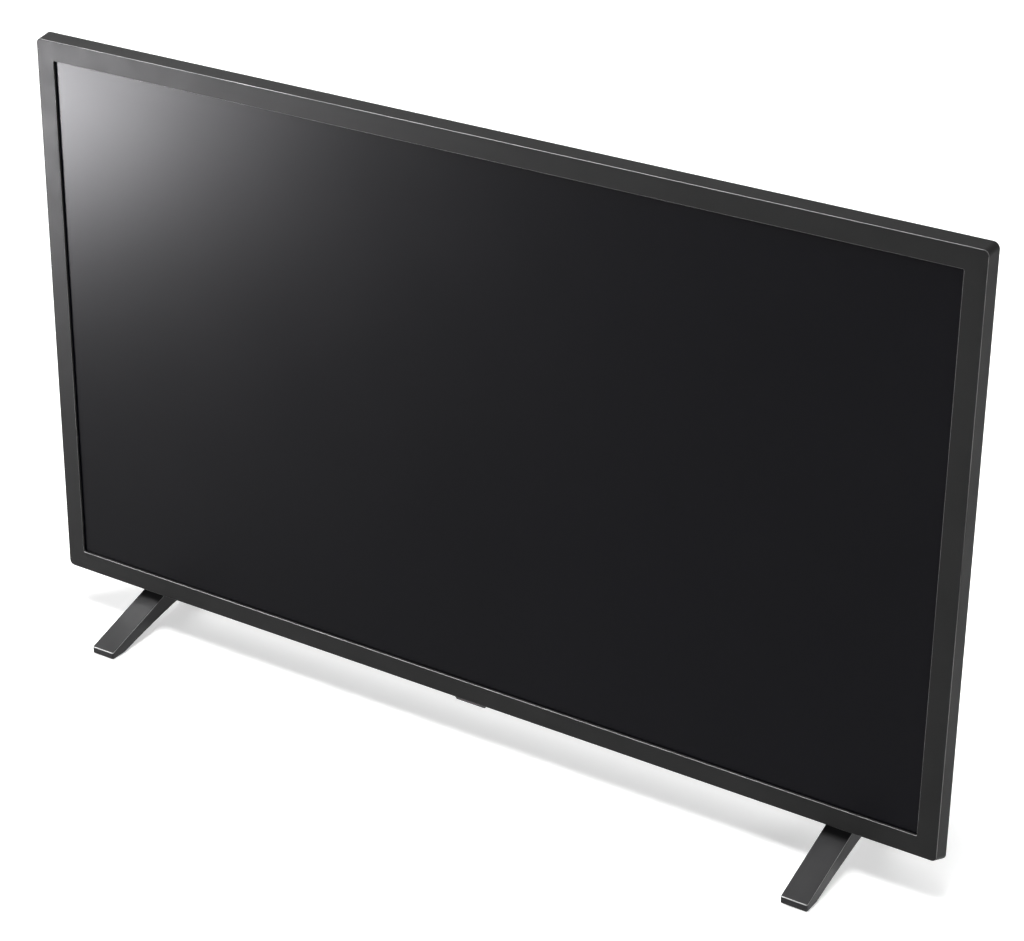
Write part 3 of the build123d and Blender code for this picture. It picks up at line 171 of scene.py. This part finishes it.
def add_floor():
    """A plain white floor that keeps the set's shadow and stays white far from the lamps."""
    mesh = bpy.data.meshes.new("floor")
    shape = bmesh.new()
    bmesh.ops.create_grid(shape, x_segments=1, y_segments=1, size=floor_half)
    shape.to_mesh(mesh)
    shape.free()
    floor = bpy.data.objects.new("floor", mesh)
    bpy.context.collection.objects.link(floor)
    material = bpy.data.materials.new("floor_paper")
    material.use_nodes = True
    tree = material.node_tree
    tree.nodes.clear()
    paper = tree.nodes.new("ShaderNodeBsdfDiffuse")
    paper.inputs["Color"].default_value = (*floor_colour, 1)
    glow = tree.nodes.new("ShaderNodeEmission")
    level = tree.nodes.new("ShaderNodeMath")
    level.operation = "MULTIPLY"
    place = tree.nodes.new("ShaderNodeTexCoord")
    distance = tree.nodes.new("ShaderNodeVectorMath")
    distance.operation = "LENGTH"
    tree.links.new(place.outputs["Object"], distance.inputs[0])
    spread = tree.nodes.new("ShaderNodeMapRange")
    spread.inputs["From Min"].default_value = near_floor
    spread.inputs["From Max"].default_value = far_floor
    spread.inputs["To Min"].default_value = floor_glow
    spread.inputs["To Max"].default_value = far_floor_glow
    tree.links.new(distance.outputs["Value"], spread.inputs["Value"])
    tree.links.new(spread.outputs["Result"], level.inputs[1])
    add = tree.nodes.new("ShaderNodeAddShader")
    out = tree.nodes.new("ShaderNodeOutputMaterial")
    tree.links.new(background_rays(tree), level.inputs[0])
    tree.links.new(level.outputs[0], glow.inputs["Strength"])
    tree.links.new(paper.outputs[0], add.inputs[0])
    tree.links.new(glow.outputs[0], add.inputs[1])
    tree.links.new(add.outputs[0], out.inputs["Surface"])
    mesh.materials.append(material)


def set_world():
    """Dim round light. The camera, and reflections near the horizon, see a pale background."""
    world = bpy.data.worlds.new("studio")
    bpy.context.scene.world = world
    world.use_nodes = True
    tree = world.node_tree
    tree.nodes.clear()
    path = tree.nodes.new("ShaderNodeLightPath")
    ways = tree.nodes.new("ShaderNodeTexCoord")
    height = tree.nodes.new("ShaderNodeSeparateXYZ")
    tree.links.new(ways.outputs["Generated"], height.inputs[0])
    horizon = tree.nodes.new("ShaderNodeMapRange")
    horizon.inputs["From Min"].default_value = horizon_low
    horizon.inputs["From Max"].default_value = horizon_high
    horizon.inputs["To Min"].default_value = white_level
    horizon.inputs["To Max"].default_value = room_level
    tree.links.new(height.outputs["Z"], horizon.inputs["Value"])
    mirrored = tree.nodes.new("ShaderNodeMapRange")
    mirrored.inputs["To Min"].default_value = room_level
    tree.links.new(background_rays(tree), mirrored.inputs["Value"])
    tree.links.new(horizon.outputs["Result"], mirrored.inputs["To Max"])
    seen = tree.nodes.new("ShaderNodeMapRange")
    seen.inputs["To Max"].default_value = white_level
    tree.links.new(path.outputs["Is Camera Ray"], seen.inputs["Value"])
    tree.links.new(mirrored.outputs["Result"], seen.inputs["To Min"])
    back = tree.nodes.new("ShaderNodeBackground")
    out = tree.nodes.new("ShaderNodeOutputWorld")
    tree.links.new(seen.outputs["Result"], back.inputs["Strength"])
    tree.links.new(back.outputs[0], out.inputs["Surface"])


def set_lights():
    """Soft lamps above and behind, and small ones that only graze the panel and its edges."""
    middle = (0, 0, 0.22)
    add_softbox("overhead_box", (-0.1, -0.5, 2.6), middle, (1.5, 0.9), 84, gloss=False)
    add_softbox("front_box", (-1.4, -2.2, 1.5), middle, (1.4, 1.0), 10, gloss=False)
    add_softbox("rear_box", (-1.0, 1.8, 2.3), middle, (1.4, 0.8), 38, gloss=False)
    add_softbox("rear_fill", (1.9, 1.6, 0.9), middle, (1.0, 0.8), 22, gloss=False)
    top_left = (-0.36, 0, 0.46)
    add_softbox("top_sheen", (-2.07, 1.87, 1.26), top_left, (0.9, 0.5), 5, fill=False)
    corner, cool = (-0.35, -0.036, 0.44), (0.98, 0.97, 1.0)
    glow_size = (0.234, 0.15)
    add_softbox("panel_glow", (-0.97, -0.645, 0.136), corner, glow_size, 26, fill=False, tint=cool)
    add_softbox("edge_box", (-1.5, -1.2, 2.35), middle, (0.9, 0.3), 900, fill=False)
    side_edge = (0.368, -0.038, 0.28)
    add_softbox("side_glow", (0.67, -0.46, 0.03), side_edge, (0.12, 0.05), 5, fill=False)


def start_material(name, roughness, specular=0.5, metallic=0.0):
    """A material with its plain values on the shader's own sockets."""
    material = bpy.data.materials.new(name)
    material.use_nodes = True
    tree = material.node_tree
    shader = tree.nodes["Principled BSDF"]
    shader.inputs["Roughness"].default_value = roughness
    shader.inputs["Specular IOR Level"].default_value = specular
    shader.inputs["Metallic"].default_value = metallic
    coords = tree.nodes.new("ShaderNodeTexCoord").outputs["Object"]
    return material, tree, shader, coords


def stretched(tree, coords, scale):
    """Coordinates drawn out along an axis, for brushed and rolled finishes."""
    mapping = tree.nodes.new("ShaderNodeMapping")
    mapping.inputs["Scale"].default_value = scale
    tree.links.new(coords, mapping.inputs["Vector"])
    return mapping.outputs["Vector"]


def noise(tree, coords, scale, detail=2.0):
    """A cloudy or grainy pattern from 0 to 1."""
    node = tree.nodes.new("ShaderNodeTexNoise")
    node.inputs["Scale"].default_value = scale
    node.inputs["Detail"].default_value = detail
    tree.links.new(coords, node.inputs["Vector"])
    return node.outputs["Fac"]


def cells(tree, coords, scale):
    """The distance to the middle of small cells."""
    node = tree.nodes.new("ShaderNodeTexVoronoi")
    node.inputs["Scale"].default_value = scale
    tree.links.new(coords, node.inputs["Vector"])
    return node.outputs["Distance"]


def stripes(tree, coords, scale, axis):
    """Even bands across an axis."""
    node = tree.nodes.new("ShaderNodeTexWave")
    node.bands_direction = axis
    node.inputs["Scale"].default_value = scale
    tree.links.new(coords, node.inputs["Vector"])
    return node.outputs["Fac"]


def colour_by(tree, shader, pattern, dark, light, low=0.35, high=0.65):
    """Colours the surface from dark to light by a pattern."""
    ramp = tree.nodes.new("ShaderNodeValToRGB")
    ramp.color_ramp.elements[0].position = low
    ramp.color_ramp.elements[0].color = (*dark, 1)
    ramp.color_ramp.elements[1].position = high
    ramp.color_ramp.elements[1].color = (*light, 1)
    tree.links.new(pattern, ramp.inputs["Fac"])
    tree.links.new(ramp.outputs["Color"], shader.inputs["Base Color"])


def rough_by(tree, shader, pattern, low, high):
    """Varies how rough the surface is by a pattern."""
    spread = tree.nodes.new("ShaderNodeMapRange")
    spread.inputs["From Min"].default_value = 0.3
    spread.inputs["From Max"].default_value = 0.7
    spread.inputs["To Min"].default_value = low
    spread.inputs["To Max"].default_value = high
    tree.links.new(pattern, spread.inputs["Value"])
    tree.links.new(spread.outputs["Result"], shader.inputs["Roughness"])


def relief(tree, shader, pattern, strength, depth, under=None):
    """A fine relief, on top of another one where it is given."""
    bump = tree.nodes.new("ShaderNodeBump")
    bump.inputs["Strength"].default_value = strength
    bump.inputs["Distance"].default_value = depth
    tree.links.new(pattern, bump.inputs["Height"])
    if under:
        tree.links.new(under, bump.inputs["Normal"])
    tree.links.new(bump.outputs["Normal"], shader.inputs["Normal"])
    return bump.outputs["Normal"]


def moulded(name, dark, light, roughness, grain, strength, specular=0.5):
    """Moulded plastic: a spark-eroded grain, faint clouds of tone and small gloss changes."""
    low, high = roughness
    material, tree, shader, coords = start_material(name, high, specular)
    colour_by(tree, shader, noise(tree, coords, 14, 4), dark, light)
    rough_by(tree, shader, noise(tree, coords, 60, 3), low, high)
    wide = relief(tree, shader, noise(tree, coords, grain, 3), strength, 0.15 * MM)
    fine = noise(tree, coords, grain * 3)
    relief(tree, shader, fine, strength * 0.6, 0.05 * MM, wide)
    return material


def coated_panel(name):
    """Near-black panel under a matt anti-glare coat with a very fine sparkle."""
    material, tree, shader, coords = start_material(name, 0.33, 0.06)
    dark, light = (0.001, 0.0009, 0.0024), (0.0014, 0.0013, 0.003)
    colour_by(tree, shader, noise(tree, coords, 6), dark, light)
    rough_by(tree, shader, noise(tree, coords, 9), 0.32, 0.34)
    relief(tree, shader, noise(tree, coords, 2600), 0.04, 0.02 * MM)
    return material


def drawn_metal(name, dark, light, roughness, scale, strength):
    """Rolled, drawn or turned metal with fine lines along one axis."""
    low, high = roughness
    material, tree, shader, coords = start_material(name, high, 0.5, 1.0)
    lines = noise(tree, stretched(tree, coords, scale), 1, 4)
    colour_by(tree, shader, noise(tree, coords, 45, 4), dark, light)
    rough_by(tree, shader, lines, low, high)
    relief(tree, shader, lines, strength, 0.02 * MM)
    return material


def zinc_sheet(name):
    """Galvanised sheet with large soft spangles."""
    material, tree, shader, coords = start_material(name, 0.42, 0.5, 1.0)
    dark, light = (0.5, 0.51, 0.52), (0.68, 0.69, 0.7)
    colour_by(tree, shader, cells(tree, coords, 130), dark, light, 0.1, 0.8)
    rough_by(tree, shader, noise(tree, coords, 120, 3), 0.3, 0.48)
    relief(tree, shader, noise(tree, coords, 700), 0.15, 0.03 * MM)
    return material


def circuit(name, mask, track):
    """Circuit board: copper tracks that show through a lacquer."""
    material, tree, shader, coords = start_material(name, 0.38)
    bricks = tree.nodes.new("ShaderNodeTexBrick")
    bricks.inputs["Scale"].default_value = 1
    bricks.inputs["Brick Width"].default_value = 4.2 * MM
    bricks.inputs["Row Height"].default_value = 1.1 * MM
    bricks.inputs["Mortar Size"].default_value = 0.16 * MM
    bricks.inputs["Color1"].default_value = (*mask, 1)
    bricks.inputs["Color2"].default_value = (*[0.8 * share for share in mask], 1)
    bricks.inputs["Mortar"].default_value = (*track, 1)
    turned = tree.nodes.new("ShaderNodeMapping")
    turned.inputs["Rotation"].default_value = (math.pi / 2, 0, 0)
    tree.links.new(coords, turned.inputs["Vector"])
    tree.links.new(turned.outputs["Vector"], bricks.inputs["Vector"])
    tree.links.new(bricks.outputs["Color"], shader.inputs["Base Color"])
    rough_by(tree, shader, noise(tree, coords, 200, 3), 0.3, 0.45)
    relief(tree, shader, bricks.outputs["Fac"], 0.3, 0.03 * MM)
    return material


def banded(name, dark, light, bands, axis, roughness, strength):
    """Bands across one axis: a wound coil, a sleeve, a flat cable or a film's lines."""
    material, tree, shader, coords = start_material(name, roughness)
    pattern = stripes(tree, coords, bands, axis)
    colour_by(tree, shader, pattern, dark, light, 0.2, 0.8)
    rough_by(tree, shader, noise(tree, coords, 150), roughness * 0.8, roughness * 1.2)
    relief(tree, shader, pattern, strength, 0.08 * MM)
    return material


def porous(name, dark, light, pores, strength, specular=0.3):
    """Rubber, foam or paper with open pores or fibres."""
    material, tree, shader, coords = start_material(name, 0.8, specular)
    pattern = cells(tree, coords, pores)
    colour_by(tree, shader, pattern, dark, light, 0.1, 0.7)
    rough_by(tree, shader, noise(tree, coords, pores / 3, 3), 0.7, 0.9)
    relief(tree, shader, pattern, strength, 0.1 * MM)
    return material


def clear_lens(name):
    """Clear moulded plastic with faint flow marks."""
    material, tree, shader, coords = start_material(name, 0.06)
    shader.inputs["Transmission Weight"].default_value = 1.0
    shader.inputs["IOR"].default_value = 1.49
    colour_by(tree, shader, noise(tree, coords, 60), (0.86, 0.88, 0.89), (0.9, 0.92, 0.93))
    rough_by(tree, shader, noise(tree, coords, 300), 0.04, 0.1)
    relief(tree, shader, noise(tree, coords, 90), 0.05, 0.05 * MM)
    return material


def smoked_window(name):
    """Dark red window that infrared light passes."""
    material, tree, shader, coords = start_material(name, 0.12)
    shader.inputs["Coat Weight"].default_value = 0.6
    shader.inputs["Coat Roughness"].default_value = 0.06
    colour_by(tree, shader, noise(tree, coords, 120), (0.03, 0.003, 0.006), (0.045, 0.005, 0.009))
    rough_by(tree, shader, noise(tree, coords, 400), 0.09, 0.16)
    relief(tree, shader, noise(tree, coords, 250), 0.04, 0.02 * MM)
    return material


def grey(level, blue=0.0):
    """A grey, with a little more blue where asked."""
    return (level, level, level + blue)


def outer_finishes():
    """The finishes of the frame, the cover, the feet and the control unit."""
    return [
        moulded("frame_plastic", grey(0.018), grey(0.022), (0.4, 0.46), 1500, 0.3, 0.055),
        moulded("cover_plastic", grey(0.018), grey(0.021), (0.44, 0.56), 900, 0.6, 0.12),
        # A light grey that paints highlight lines on the rounded edges of the frame and the feet
        moulded("painted_edge_highlight", grey(0.2), grey(0.24), (0.4, 0.46), 900, 0.05, 0.3),
        moulded("foot_plastic", grey(0.02, 0.001), grey(0.026, 0.001), (0.34, 0.4), 1400, 0.25, 0.11),
        moulded("gloss_black", grey(0.008), grey(0.011), (0.14, 0.22), 400, 0.06),
        moulded("button_plastic", grey(0.018), grey(0.024), (0.34, 0.42), 1800, 0.3),
        moulded("screw_black", grey(0.012), grey(0.03), (0.28, 0.42), 1600, 0.2),
        porous("black_rubber", grey(0.012), grey(0.024), 900, 0.3),
        smoked_window("window_red"),
        coated_panel("screen_glass"),
    ]


def inner_finishes():
    """The finishes of what the cabinet holds."""
    along_x = (8, 900, 900)
    along_y = (900, 8, 900)
    amber, pale_amber = (0.4, 0.16, 0.02), (0.6, 0.3, 0.06)
    tape, pale_tape = (0.6, 0.44, 0.04), (0.8, 0.64, 0.1)
    sleeve, pale_sleeve = (0.01, 0.012, 0.03), (0.02, 0.024, 0.05)
    brass, pale_brass = (0.52, 0.4, 0.2), (0.66, 0.53, 0.3)
    phosphor, pale_phosphor = (0.86, 0.78, 0.3), (0.92, 0.88, 0.55)
    return [
        moulded("inner_black_plastic", grey(0.015), grey(0.022), (0.5, 0.6), 1200, 0.4),
        moulded("white_film", grey(0.8), grey(0.85), (0.3, 0.42), 2200, 0.08),
        moulded("chip_black", grey(0.014), grey(0.024), (0.46, 0.6), 2400, 0.35),
        moulded("socket_black", grey(0.01), grey(0.016), (0.34, 0.44), 1500, 0.2),
        moulded("plug_white", grey(0.78, -0.05), grey(0.84, -0.05), (0.34, 0.46), 1600, 0.12),
        porous("black_foam", grey(0.005), grey(0.015), 1800, 0.8),
        porous("lamp_white", phosphor, pale_phosphor, 3000, 0.15, 0.5),
        porous("cone_paper", grey(0.03), grey(0.07), 1500, 0.5),
        drawn_metal("bar_aluminium", grey(0.72), grey(0.82), (0.26, 0.4), along_x, 0.2),
        drawn_metal("sink_aluminium", grey(0.66), grey(0.78), (0.3, 0.45), along_y, 0.3),
        drawn_metal("socket_steel", grey(0.62), grey(0.72), (0.22, 0.34), along_x, 0.15),
        drawn_metal("screw_steel", grey(0.5), grey(0.62), (0.25, 0.4), along_y, 0.25),
        drawn_metal("brass_parts", brass, pale_brass, (0.22, 0.36), along_y, 0.2),
        zinc_sheet("tray_steel"),
        clear_lens("clear_plastic"),
        circuit("circuit_green", (0.02, 0.13, 0.06), (0.05, 0.22, 0.1)),
        circuit("circuit_tan", (0.45, 0.3, 0.12), (0.6, 0.45, 0.25)),
        banded("film_amber", amber, pale_amber, 1200, "X", 0.24, 0.1),
        banded("winding_yellow", tape, pale_tape, 500, "Z", 0.28, 0.5),
        banded("capacitor_black", sleeve, pale_sleeve, 60, "Y", 0.22, 0.05),
        banded("lead_black", grey(0.01), grey(0.018), 900, "Z", 0.42, 0.12),
        banded("ribbon_white", grey(0.62), grey(0.84), 700, "X", 0.35, 0.2),
    ]


def clear_plain_finishes():
    """Removes the plain materials that came with the frame, so that their names are free."""
    for material in list(bpy.data.materials):
        bpy.data.materials.remove(material)


def dress(finishes):
    """Gives every CAD node the material of its slot."""
    for row in frame["record"]["subparts"]:
        mesh = frame["nodes"][row["node"]].data
        mesh.materials.clear()
        mesh.materials.append(finishes[row["material_slot"]])


def round_edges(shape, radius):
    """Rounds the edges where two faces meet at a sharp angle."""
    bmesh.ops.bevel(
        shape,
        geom=[edge for edge in shape.edges if edge.calc_face_angle(0) > sharp_turn],
        offset=radius,
        affect="EDGES",
        segments=2,
        profile=0.5,
        material=-1,
    )


def add_bar(shape, low, high, turn=None):
    """A bar between two corners, turned about its middle where asked."""
    low, high = Vector(low), Vector(high)
    place = Matrix.Translation((low + high) / 2)
    if turn:
        place = place @ turn
    place = place @ Matrix.Diagonal((*(high - low), 1))
    bmesh.ops.create_cube(shape, size=1, matrix=place)


def add_ring(shape, middle, inner, outer, depth):
    """A turned ring about the Y axis, which reaches back by its depth from the given middle."""
    profile = [(inner, 0), (outer, 0), (outer, depth), (inner, depth)]
    corners = [shape.verts.new((middle[0] + x, middle[1] + y, middle[2])) for x, y in profile]
    edges = [shape.edges.new((corners[i - 1], corners[i])) for i in range(len(corners))]
    bmesh.ops.spin(
        shape,
        geom=corners + edges,
        cent=middle,
        axis=(0, 1, 0),
        angle=2 * math.pi,
        steps=48,
        use_merge=True,
    )


def finish_piece(shape, name, material):
    """Makes the mesh a piece of the cabinet with the given material."""
    bmesh.ops.recalc_face_normals(shape, faces=shape.faces)
    mesh = bpy.data.meshes.new(name)
    shape.to_mesh(mesh)
    shape.free()
    mesh.materials.append(material)
    piece = bpy.data.objects.new(name, mesh)
    bpy.context.collection.objects.link(piece)
    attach(piece, "cabinet")


def middle_of(node):
    """The middle of a node's box."""
    low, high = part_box(node)
    return (Vector(low) + Vector(high)) / 2


def painted_highlight_edges(node, name, is_edge, finishes):
    """A thin light grey skin on the narrow middle of the rounded edges that catch the light: a
    painted highlight.
    """
    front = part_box(node)[0][1]
    shape = bmesh.new()
    shape.from_mesh(frame["nodes"][node].data)
    bmesh.ops.remove_doubles(shape, verts=shape.verts, dist=weld)
    rest = [face for face in shape.faces if not is_edge(face, front)]
    bmesh.ops.delete(shape, geom=rest, context="FACES")
    shape.normal_update()
    for corner in shape.verts:
        corner.co += corner.normal * skin_proud
    bmesh.ops.solidify(shape, geom=shape.faces, thickness=skin_thickness)
    finish_piece(shape, name, finishes["painted_edge_highlight"])


def on_frame_edge(face, front):
    """Whether a face is in the middle of the frame's front edges or of its upper corners, where the
    highlight is painted.
    """
    low, high = frame_edge_turn
    near_front = face.calc_center_median().y < front + edge_reach
    round_front = near_front and low < -face.normal.y < high
    low, high = corner_turn
    round_corner = abs(face.normal.y) < 0.1 and low < abs(face.normal.x) < high
    return round_front or (round_corner and face.normal.z > 0.5)


def on_foot_edge(face, front):
    """Whether a face is in the middle of the rounded edges on top of a foot, where the highlight is
    painted.
    """
    low, high = foot_edge_turn
    toe = face.calc_center_median().y < front + toe_reach and face.normal.y < -0.5
    return face.normal.z > 0.3 and (toe or low < abs(face.normal.x) < high)


def panel_border(finishes):
    """The thin strip on the glass round the picture, inside the frame's lip."""
    low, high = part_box("lcd_cell")
    left, right = low[0] + cell_overlap, high[0] - cell_overlap
    bottom, top = low[2] + cell_overlap, high[2] - cell_overlap
    face = low[1]
    shape = bmesh.new()
    corners = [(left, face, bottom), (right, face, bottom), (right, face, top), (left, face, top)]
    sheet = shape.faces.new([shape.verts.new(corner) for corner in corners])
    bmesh.ops.inset_region(
        shape,
        faces=[sheet],
        thickness=border_width,
        use_boundary=True,
        use_even_offset=True,
    )
    bmesh.ops.delete(shape, geom=[sheet], context="FACES")
    strip = bmesh.ops.extrude_face_region(shape, geom=list(shape.faces), use_keep_orig=True)
    raised = [part for part in strip["geom"] if isinstance(part, bmesh.types.BMVert)]
    bmesh.ops.translate(shape, verts=raised, vec=(0, -border_height, 0))
    round_edges(shape, border_bevel)
    finish_piece(shape, "panel_border", finishes["inner_black_plastic"])


def contact_strips(shape, socket, count, middle_height, tongue, strips):
    """Strips on both faces of the tongues of one kind of side socket."""
    spots, pitch, width, length = strips
    low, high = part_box(socket)
    middle = (low[2] + high[2]) / 2
    mouth = high[0] - strip_setback
    for number in range(count):
        place = middle + (number - (count - 1) / 2) * side_socket_pitch
        for spot in range(spots):
            across = place + (spot - (spots - 1) / 2) * pitch
            for side in (-1, 1):
                inner = low[1] + middle_height + side * tongue / 2
                near, far = sorted((inner, inner + side * strip_lift))
                add_bar(
                    shape,
                    (mouth - length, near, across - width / 2),
                    (mouth, far, across + width / 2),
                )


def side_socket_contacts(finishes):
    """Gold strips in the three flat sockets and the two wider ones at the side."""
    shape = bmesh.new()
    narrow = (10, 1.0 * MM, 0.45 * MM, 6 * MM)
    wide = (4, 2.4 * MM, 1.2 * MM, 8 * MM)
    contact_strips(shape, "video_sockets", 3, video_middle, video_tongue, narrow)
    contact_strips(shape, "data_sockets", 2, data_middle, data_tongue, wide)
    round_edges(shape, strip_bevel)
    finish_piece(shape, "side_socket_contacts", finishes["brass_parts"])


def network_contacts(finishes):
    """The eight sprung wires in the network socket."""
    middle = middle_of("network_socket")
    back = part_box("network_socket")[1][1]
    turn = Matrix.Rotation(math.radians(wire_slope), 4, "X")
    level = middle.z + wire_height
    shape = bmesh.new()
    for spot in range(wire_count):
        across = middle.x + (spot - (wire_count - 1) / 2) * wire_pitch
        add_bar(
            shape,
            (across - wire_half, back - wire_ends[0], level),
            (across + wire_half, back - wire_ends[1], level + 2 * wire_half),
            turn,
        )
    round_edges(shape, wire_half / 2)
    finish_piece(shape, "network_contacts", finishes["brass_parts"])


def optical_shutter(finishes):
    """The sprung flap in the mouth of the optical socket, with its finger rib."""
    middle = middle_of("optical_socket")
    half = shutter_half
    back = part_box("optical_socket")[1][1] - shutter_setback
    rib_top = middle.z + half - rib_margin
    rib_half = half - rib_margin
    shape = bmesh.new()
    add_bar(
        shape,
        (middle.x - half, back - shutter_thickness, middle.z - half),
        (middle.x + half, back, middle.z + half),
    )
    add_bar(
        shape,
        (middle.x - rib_half, back - rib_sunk, rib_top - rib_height),
        (middle.x + rib_half, back + rib_proud, rib_top),
    )
    round_edges(shape, small_bevel)
    finish_piece(shape, "optical_shutter", finishes["button_plastic"])


def socket_rings(finishes):
    """The metal ring round the audio socket, and the insulator in the aerial socket."""
    rings = [
        ("audio_ring", "audio_socket", 0, 1.8 * MM, 3.2 * MM, 0.6 * MM, "socket_steel"),
        ("aerial_insulator", "aerial_socket", -3 * MM, 0.6 * MM, 1.45 * MM, 2 * MM, "plug_white"),
    ]
    for name, socket, start, inner, outer, depth, slot in rings:
        middle = middle_of(socket)
        middle.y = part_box(socket)[1][1] + start
        shape = bmesh.new()
        add_ring(shape, middle, inner, outer, depth)
        round_edges(shape, small_bevel)
        finish_piece(shape, name, finishes[slot])


def board_resistors(finishes):
    """Rows of small resistors and capacitors in the free middle of both boards."""
    random.seed(7)
    bodies = bmesh.new()
    ends = bmesh.new()
    board_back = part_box("main_board")[1][1]
    for left, right in row_stretches:
        for row in range(row_count):
            level = row_level + row * row_pitch
            across = left
            while across < right:
                length = random.choice(part_lengths) * MM
                half = length * half_width_share
                stretches = [(ends, 0, 0.22, 1.1), (bodies, 0.2, 0.8, 1.0), (ends, 0.78, 1, 1.1)]
                for shape, start, stop, rise in stretches:
                    low = (across + length * start, board_back, level - half)
                    high = (across + length * stop, board_back + rise * half, level + half)
                    add_bar(shape, low, high)
                across += length + random.choice(part_gaps) * MM
    round_edges(bodies, tiny_bevel)
    finish_piece(bodies, "board_resistors", finishes["chip_black"])
    round_edges(ends, tiny_bevel)
    finish_piece(ends, "resistor_ends", finishes["screw_steel"])


clear_plain_finishes()
add_camera()
add_floor()
set_world()
set_lights()
finishes = {made.name: made for made in outer_finishes() + inner_finishes()}
dress(finishes)
# Light grey skins on the edges of the frame and the feet: painted highlight lines
painted_highlight_edges("front_bezel", "frame_painted_highlight", on_frame_edge, finishes)
for foot in ("foot_left", "foot_right"):
    painted_highlight_edges(foot, foot + "_painted_highlight", on_foot_edge, finishes)
panel_border(finishes)
side_socket_contacts(finishes)
network_contacts(finishes)
optical_shutter(finishes)
socket_rings(finishes)
board_resistors(finishes)
bpy.context.scene.view_settings.view_transform = "Standard"
